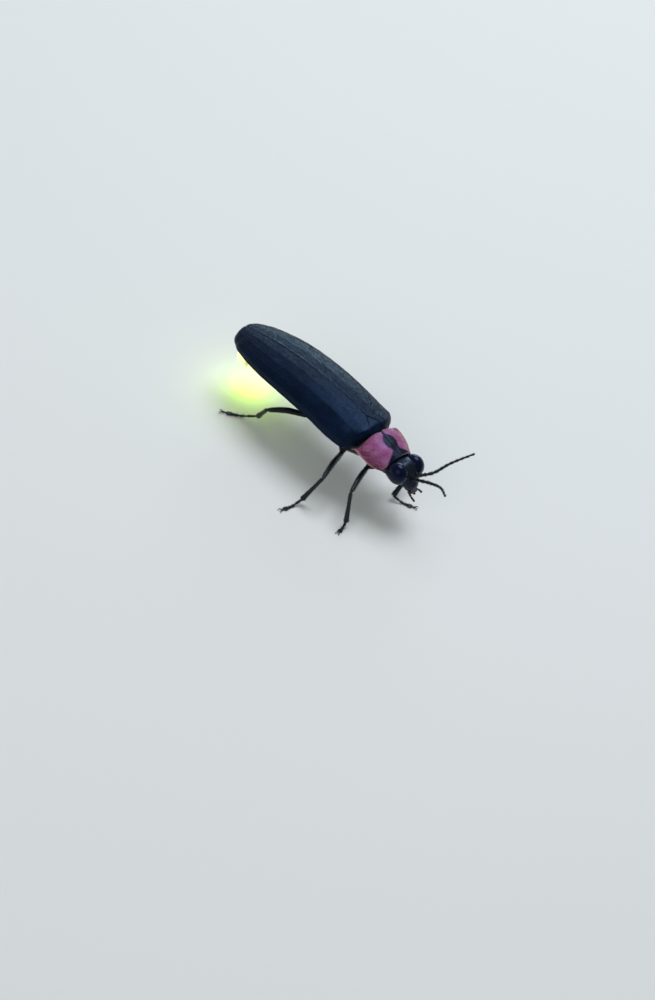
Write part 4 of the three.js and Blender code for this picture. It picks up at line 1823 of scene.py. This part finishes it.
@dataclass(frozen=True)
class Antenna:
    """Eleven joints: a long first, a short second, and nine slim ones that widen outward."""

    side: Side
    bends: tuple[tuple[float, float, float], ...]
    root: tuple[float, float, float] = (3.3, 0.19, -1.22)
    root_radius: float = 0.105
    tip_radius: float = 0.062
    joint_overlap: float = 0.012
    joint_taper: float = 0.72
    last_taper: float = 0.3
    shares: tuple[float, ...] = (
        0.12,
        0.055,
        0.1,
        0.095,
        0.092,
        0.09,
        0.09,
        0.09,
        0.088,
        0.088,
        0.092,
    )
    coat: Coat = Coat(length=0.1, width=0.008, lift=0.4, per_square_mm=260)

    def build(self) -> None:
        """Builds the joints along the antenna's curve, and their dense short hair."""
        path = Path(on_side(self.root, self.side), *self.bends)
        draft, coat = Draft(), Draft()
        rng = np.random.default_rng(31 + self.side.value)
        start = 0.0
        for index, share in enumerate(self.shares):
            end = start + share
            blend = index / (len(self.shares) - 1)
            wide = self.root_radius + (self.tip_radius - self.root_radius) * blend
            tip = self.last_taper if index == len(self.shares) - 1 else self.joint_taper
            form = round_sections(
                (start - self.joint_overlap * (index > 0), wide * 0.5),
                (start + share * 0.1, wide * 0.72),
                (start + share * 0.75, wide),
                (end - share * 0.06, wide * 0.92),
                (end, wide * tip),
            )
            skin = tube(path, form, 22, 20)
            draft.grid(skin, ring=True, ends=True)
            self.coat.grow(coat, skin, rng, ring=True, strip=(index, len(self.shares)))
            start = end
        name = f"antenna_{self.side.word}"
        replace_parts(draft.to_object(f"{name}_joints", LEG_CHITIN.material(), Slot.BLACK), name)
        coat.to_object(f"{name}_hair", DARK_HAIR.material(), Slot.BLACK, sealed=False)


@dataclass(frozen=True)
class Leg:
    """A leg: hip, trochanter, thigh, shin with two spurs, five foot joints and two claws."""

    pair: str
    side: Side
    hip: tuple[float, float, float]
    trochanter: tuple[float, float, float]
    knee: tuple[float, float, float]
    ankle: tuple[float, float]
    toe: tuple[float, float]
    ankle_height: float = 0.36
    sole_height: float = 0.075
    foot_flatness: float = 0.62
    claw_length: float = 0.24
    spur_length: float = 0.17
    link_length: float = 0.32
    thigh_start: float = 0.12
    thigh_bow: float = 0.16
    knee_overlap: float = 0.03
    joint_overlap: float = 0.02
    claw_clearance: float = 0.012
    hip_form: Profile = round_sections((0, 0.32), (0.35, 0.3), (0.7, 0.21), (1, 0.13))
    thigh_form: Profile = Profile(
        (0, 0.07, 0.07),
        (0.05, 0.12, 0.13),
        (0.2, 0.145, 0.165),
        (0.45, 0.155, 0.185),
        (0.75, 0.135, 0.16),
        (0.93, 0.105, 0.125),
        (1, 0.05, 0.06),
    )
    shin_form: Profile = round_sections(
        (0, 0.05), (0.04, 0.1), (0.12, 0.105), (0.5, 0.115), (0.85, 0.14), (0.97, 0.145), (1, 0.09)
    )
    foot_joints: tuple[tuple[float, float], ...] = (
        (0.31, 0.085),
        (0.19, 0.09),
        (0.14, 0.1),
        (0.12, 0.125),
        (0.24, 0.06),
    )
    lobed_joint: int = 3
    link_form: Profile = round_sections((0, 0.1), (0.4, 0.15), (0.8, 0.12), (1, 0.06))
    lobe_form: Profile = Profile(
        (0, 0.03, 0.03), (0.35, 0.062, 0.04), (0.75, 0.06, 0.035), (1, 0.015, 0.012)
    )
    claw_form: Profile = round_sections((0, 0.03), (0.3, 0.033), (0.7, 0.02), (1, 0.004))
    spur_form: Profile = round_sections((0, 0.03), (0.5, 0.022), (1, 0.004))
    coat: Coat = Coat(length=0.13, width=0.01, lift=0.32, per_square_mm=120)
    sole_coat: Coat = Coat(length=0.09, width=0.008, lift=0.6, per_square_mm=260)
    hair_strips: int = 7

    def points(self) -> dict[str, np.ndarray]:
        """Finds the leg's joints.

        Returns:
            Places on the insect, by the joints' names.
        """
        ankle = np.array([*self.ankle, FLOOR + self.ankle_height])
        toe = np.array([*self.toe, FLOOR + self.sole_height])
        return {
            "hip": np.array(self.hip),
            "trochanter": np.array(self.trochanter),
            "knee": np.array(self.knee),
            "ankle": ankle,
            "toe": toe,
        }

    @staticmethod
    def above_floor(skin: np.ndarray) -> np.ndarray:
        """Presses flat on the floor what would sink into it.

        Args:
            skin: Points of the skin.

        Returns:
            The same points, none below the floor.
        """
        skin = skin.copy()
        skin[..., 2] = np.maximum(skin[..., 2], FLOOR)
        return skin

    def foot_path(self, ankle: np.ndarray, toe: np.ndarray) -> Path:
        """Draws the foot's middle line, down from the ankle and then along the floor.

        Args:
            ankle: Where it starts.
            toe: Where it ends.

        Returns:
            The line.
        """
        instep = ankle + 0.22 * (toe - ankle)
        instep[2] = toe[2] + 0.5 * (ankle[2] - toe[2])
        ball = ankle + 0.5 * (toe - ankle)
        ball[2] = toe[2]
        return Path(ankle, instep, ball, toe)

    def add_foot(self, limb: Draft, coat: Draft, rng: np.random.Generator) -> None:
        """Adds the five foot joints, the fourth with two lobes, and their sole hair.

        Args:
            limb: The leg's mesh.
            coat: The hair's mesh.
            rng: The seeded source of chance.
        """
        joints = self.points()
        path = self.foot_path(joints["ankle"], joints["toe"])
        start = 0.0
        for index, (share, wide) in enumerate(self.foot_joints):
            high = wide * self.foot_flatness
            begin = max(start - self.joint_overlap, 0)
            end = start + share
            form = Profile(
                (begin, wide * 0.4, high * 0.5),
                (start + share * 0.12, wide * 0.6, high * 0.7),
                (start + share * 0.75, wide, high),
                (end - share * 0.05, wide * 0.9, high * 0.8),
                (end + share * 0.03, wide * 0.4, high * 0.4),
            )
            skin = self.above_floor(tube(path, form, 20, 20))
            limb.grid(skin, ring=True, ends=True)
            strip = (index + 2, self.hair_strips)
            self.sole_coat.grow(coat, skin, rng, ring=True, strip=strip)
            if index == self.lobed_joint:
                self.add_lobes(limb, path, start, share, wide)
            start = end

    def add_lobes(self, limb: Draft, path: Path, start: float, share: float, wide: float) -> None:
        """Adds the two soft lobes on the fourth foot joint.

        Args:
            limb: The leg's mesh.
            path: The foot's middle line.
            start: The joint's start, as a share of the line.
            share: The joint's length, as a share of the line.
            wide: Half the joint's width.
        """
        root, ahead = path.at(np.array([start + 0.4 * share, start + 2.0 * share]))
        aside = unit(np.cross(unit(ahead - root), UP))
        for way in (1, -1):
            tip = ahead + way * wide * 0.85 * aside
            path_out = Path(root + way * wide * 0.45 * aside, tip - 0.01 * UP)
            skin = self.above_floor(tube(path_out, self.lobe_form, 16, 16))
            limb.grid(skin, ring=True, ends=True)

    def claws(self) -> Draft:
        """Builds the two hooked claws, spread apart.

        Returns:
            Their mesh.
        """
        joints = self.points()
        toe = joints["toe"]
        ahead = unit((toe - joints["ankle"]) * np.array([1, 1, 0]))
        aside = np.cross(ahead, UP)
        draft = Draft()
        size = self.claw_length
        for way in (1, -1):
            root = toe - 0.03 * ahead + way * 0.02 * aside
            arch = root + size * (0.5 * ahead + way * 0.3 * aside) + 0.04 * UP
            tip = root + size * (0.9 * ahead + way * 0.5 * aside)
            tip[2] = FLOOR + self.claw_clearance
            draft.grid(tube(Path(root, arch, tip), self.claw_form, 20, 12), ring=True, ends=True)
        return draft

    def add_spurs(self, limb: Draft) -> None:
        """Adds the two spurs at the end of the shin.

        Args:
            limb: The leg's mesh.
        """
        joints = self.points()
        down = unit(joints["ankle"] - joints["knee"])
        aside = unit(np.cross(down, UP))
        for way in (1, -1):
            root = joints["ankle"] - 0.1 * down + way * 0.08 * aside
            tip = root + self.spur_length * (down + way * 0.3 * aside)
            limb.grid(tube(Path(root, tip), self.spur_form, 10, 10), ring=True, ends=True)

    def build(self) -> None:
        """Builds the leg, its claws and its hair."""
        joints = self.points()
        limb, coat = Draft(), Draft()
        rng = np.random.default_rng(41 + len(self.pair) * 2 + self.side.value)
        hip, trochanter = joints["hip"], joints["trochanter"]
        knee, ankle = joints["knee"], joints["ankle"]
        outward = unit(knee - trochanter)
        hip_joint = tube(Path(hip, trochanter), self.hip_form, 30, 32, FORWARD)
        limb.grid(hip_joint, ring=True, ends=True)
        link_path = Path(trochanter, trochanter + self.link_length * outward)
        limb.grid(tube(link_path, self.link_form, 18, 24), ring=True, ends=True)
        middle = (trochanter + knee) / 2 + self.thigh_bow * UP
        thigh_path = Path(trochanter + self.thigh_start * outward, middle, knee)
        thigh = tube(thigh_path, self.thigh_form, 56, 32)
        shin_start = knee - self.knee_overlap * unit(ankle - knee)
        shin = tube(Path(shin_start, ankle), self.shin_form, 48, 28, FORWARD)
        for index, skin in enumerate((thigh, shin)):
            limb.grid(skin, ring=True, ends=True)
            self.coat.grow(coat, skin, rng, ring=True, strip=(index, self.hair_strips))
        self.add_spurs(limb)
        self.add_foot(limb, coat, rng)
        name = f"leg_{self.pair}_{self.side.word}"
        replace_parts(limb.to_object(f"{name}_limb", LEG_CHITIN.material(), Slot.BLACK), name)
        self.claws().to_object(f"{name}_claws", CLAW_CHITIN.material(), Slot.BLACK)
        coat.to_object(f"{name}_hair", DARK_HAIR.material(), Slot.BLACK, sealed=False)


ANTENNAE = (
    Antenna(Side.LEFT, ((3.95, 0.89, -0.8), (4.4, 1.54, -0.07), (5.2, 2.52, 0.87))),
    Antenna(Side.RIGHT, ((4.6, -0.12, -0.56), (5.65, -0.42, 0.06), (6.5, -0.98, 0.4))),
)

LEGS = (
    Leg(
        pair="front",
        side=Side.RIGHT,
        hip=(0.7, -0.38, -2.0),
        trochanter=(0.45, -0.6, -2.42),
        knee=(1.65, -3.1, -2.2),
        ankle=(1.97, -3.28),
        toe=(2.17, -3.98),
    ),
    Leg(
        pair="middle",
        side=Side.RIGHT,
        hip=(-1.6, -0.45, -2.3),
        trochanter=(-1.5, -0.66, -2.82),
        knee=(-0.21, -3.53, -2.4),
        ankle=(-0.78, -4.18),
        toe=(-0.97, -5.53),
    ),
    Leg(
        pair="hind",
        side=Side.RIGHT,
        hip=(-4.1, -0.45, -2.2),
        trochanter=(-4.62, -0.56, -2.44),
        knee=(-6.1, -2.47, -2.24),
        ankle=(-7.31, -1.54),
        toe=(-8.93, -2.86),
    ),
    Leg(
        pair="front",
        side=Side.LEFT,
        hip=(0.7, 0.38, -2.0),
        trochanter=(0.45, 0.6, -2.42),
        knee=(1.6, 2.5, -2.7),
        ankle=(1.85, 0.62),
        toe=(3.06, 1.28),
    ),
    Leg(
        pair="middle",
        side=Side.LEFT,
        hip=(-1.6, 0.45, -2.3),
        trochanter=(-1.5, 0.66, -2.82),
        knee=(-2.2, 3.25, -2.35),
        ankle=(-3.1, 3.75),
        toe=(-4.0, 4.75),
    ),
    Leg(
        pair="hind",
        side=Side.LEFT,
        hip=(-4.1, 0.45, -2.2),
        trochanter=(-4.62, 0.56, -2.44),
        knee=(-6.0, 2.9, -2.25),
        ankle=(-7.3, 3.2),
        toe=(-9.0, 4.3),
    ),
)


@dataclass(frozen=True)
class Softbox:
    """A square soft light that faces the insect: place and side in metres, power in watts."""

    name: str
    place: tuple[float, float, float]
    size: float
    power: float
    colour: str

    def build(self) -> None:
        """Adds the light."""
        data = bpy.data.lights.new(self.name, "AREA")
        data.shape = "SQUARE"
        data.size = self.size
        data.energy = self.power
        data.color = srgb(self.colour)[:3]
        light = bpy.data.objects.new(self.name, data)
        bpy.context.scene.collection.objects.link(light)
        light.location = self.place
        light.rotation_euler = Vector(self.place).to_track_quat("Z", "Y").to_euler()


@dataclass(frozen=True)
class Studio:
    """The pale floor, the soft lights and the camera at the photograph's viewing angle."""

    azimuth: float = -53.1
    elevation: float = 41.8
    roll: float = 14.4
    pixels_per_mm: float = 17.67
    picture_size: tuple[float, float] = (655, 1000)
    seam_front_pixel: tuple[float, float] = (377.35, 427.6)
    lens: float = 200
    sensor: float = 36
    clip_start: float = 0.01
    clip_end: float = 10
    floor_size: float = 2.0
    glow_place: tuple[float, float, float] = (-9.6, 0.0, -3.5)
    glow_power: float = 0.00014
    glow_size: float = 0.7
    glow_colour: str = "BDFF24"
    softboxes: tuple[Softbox, ...] = (
        Softbox("top_softbox", (0.07, 0.03, 0.2), 0.12, 0.34, "F0F5FF"),
        Softbox("side_softbox", (-0.16, -0.04, 0.12), 0.12, 0.07, "FFF6EC"),
        Softbox("far_softbox", (0.17, 0.12, 0.06), 0.1, 0.11, "BFE6F2"),
    )
    floor_colour: str = "DADBD8"
    floor_roughness: float = 0.85
    sky_colour: str = "E2E7EA"
    sky_strength: float = 0.4

    def directions(self) -> Matrix:
        """Turns the camera's angles into directions.

        Returns:
            Its right, up and back directions as columns.
        """
        azimuth, elevation, roll = map(math.radians, (self.azimuth, self.elevation, self.roll))
        back = Vector(
            (
                math.sin(azimuth) * math.cos(elevation),
                -math.cos(azimuth) * math.cos(elevation),
                math.sin(elevation),
            )
        )
        level = Vector((math.cos(azimuth), math.sin(azimuth), 0))
        upright = back.cross(level)
        right = math.cos(roll) * level + math.sin(roll) * upright
        return Matrix((right, back.cross(right), back)).transposed()

    def add_camera(self) -> None:
        """Adds the camera, framed as the photograph is."""
        turn = self.directions()
        right, upward, back = turn.col
        wide, high = self.picture_size
        x, y = self.seam_front_pixel
        target = Vector(SEAM_FRONT)
        target += right * ((wide / 2 - x) / self.pixels_per_mm * MM)
        target -= upward * ((high / 2 - y) / self.pixels_per_mm * MM)
        distance = self.lens / self.sensor * high / self.pixels_per_mm * MM
        data = bpy.data.cameras.new("camera")
        data.lens = self.lens
        data.sensor_width = self.sensor
        data.clip_start = self.clip_start
        data.clip_end = self.clip_end
        camera = bpy.data.objects.new("camera", data)
        bpy.context.scene.collection.objects.link(camera)
        camera.matrix_world = Matrix.Translation(target + back * distance) @ turn.to_4x4()
        bpy.context.scene.camera = camera

    def add_glow(self) -> None:
        """Adds the light that the lamp throws below it."""
        data = bpy.data.lights.new("lamp_glow", "POINT")
        data.energy = self.glow_power
        data.shadow_soft_size = self.glow_size * MM
        data.color = srgb(self.glow_colour)[:3]
        glow = bpy.data.objects.new("lamp_glow", data)
        bpy.context.scene.collection.objects.link(glow)
        glow.location = to_frame(np.array(self.glow_place))
        glow.visible_camera = False
        glow.visible_glossy = False

    def add_floor(self) -> None:
        """Adds the floor: board painted a plain pale matte, which takes soft shadows."""
        half = self.floor_size / 2
        corners = [(-half, -half, 0), (half, -half, 0), (half, half, 0), (-half, half, 0)]
        mesh = bpy.data.meshes.new("floor")
        mesh.from_pydata(corners, [], [range(len(corners))])
        floor = bpy.data.objects.new("floor", mesh)
        bpy.context.scene.collection.objects.link(floor)
        material, tree = new_tree("painted_board_matte")
        shader = node(
            tree,
            "BsdfPrincipled",
            None,
            {"Base Color": srgb(self.floor_colour), "Roughness": self.floor_roughness},
        )
        node(tree, "OutputMaterial", None, {"Surface": shader.outputs[0]})
        mesh.materials.append(material)

    def add_sky(self) -> None:
        """Adds an even pale surround."""
        world = bpy.data.worlds.new("surround")
        world.use_nodes = True
        shade = world.node_tree.nodes["Background"]
        shade.inputs["Color"].default_value = srgb(self.sky_colour)
        shade.inputs["Strength"].default_value = self.sky_strength
        bpy.context.scene.world = world

    def build(self) -> None:
        """Builds the whole studio."""
        self.add_floor()
        self.add_sky()
        for softbox in self.softboxes:
            softbox.build()
        self.add_glow()
        self.add_camera()
        bpy.context.scene.view_settings.view_transform = "Standard"


def main() -> None:
    """Builds the firefly piece by piece, and the studio round it."""
    logging.basicConfig(level=logging.INFO, format="%(message)s")
    scutellum = Scutellum()
    scutellum.build()
    WingCases(scutellum).build()
    NeckShield().build()
    Thorax().build()
    Abdomen().build()
    Eye().build()
    Head().build()
    Mouthparts().build()
    for antenna in ANTENNAE:
        antenna.build()
    for leg in LEGS:
        leg.build()
    Studio().build()


if __name__ == "__main__":
    main()
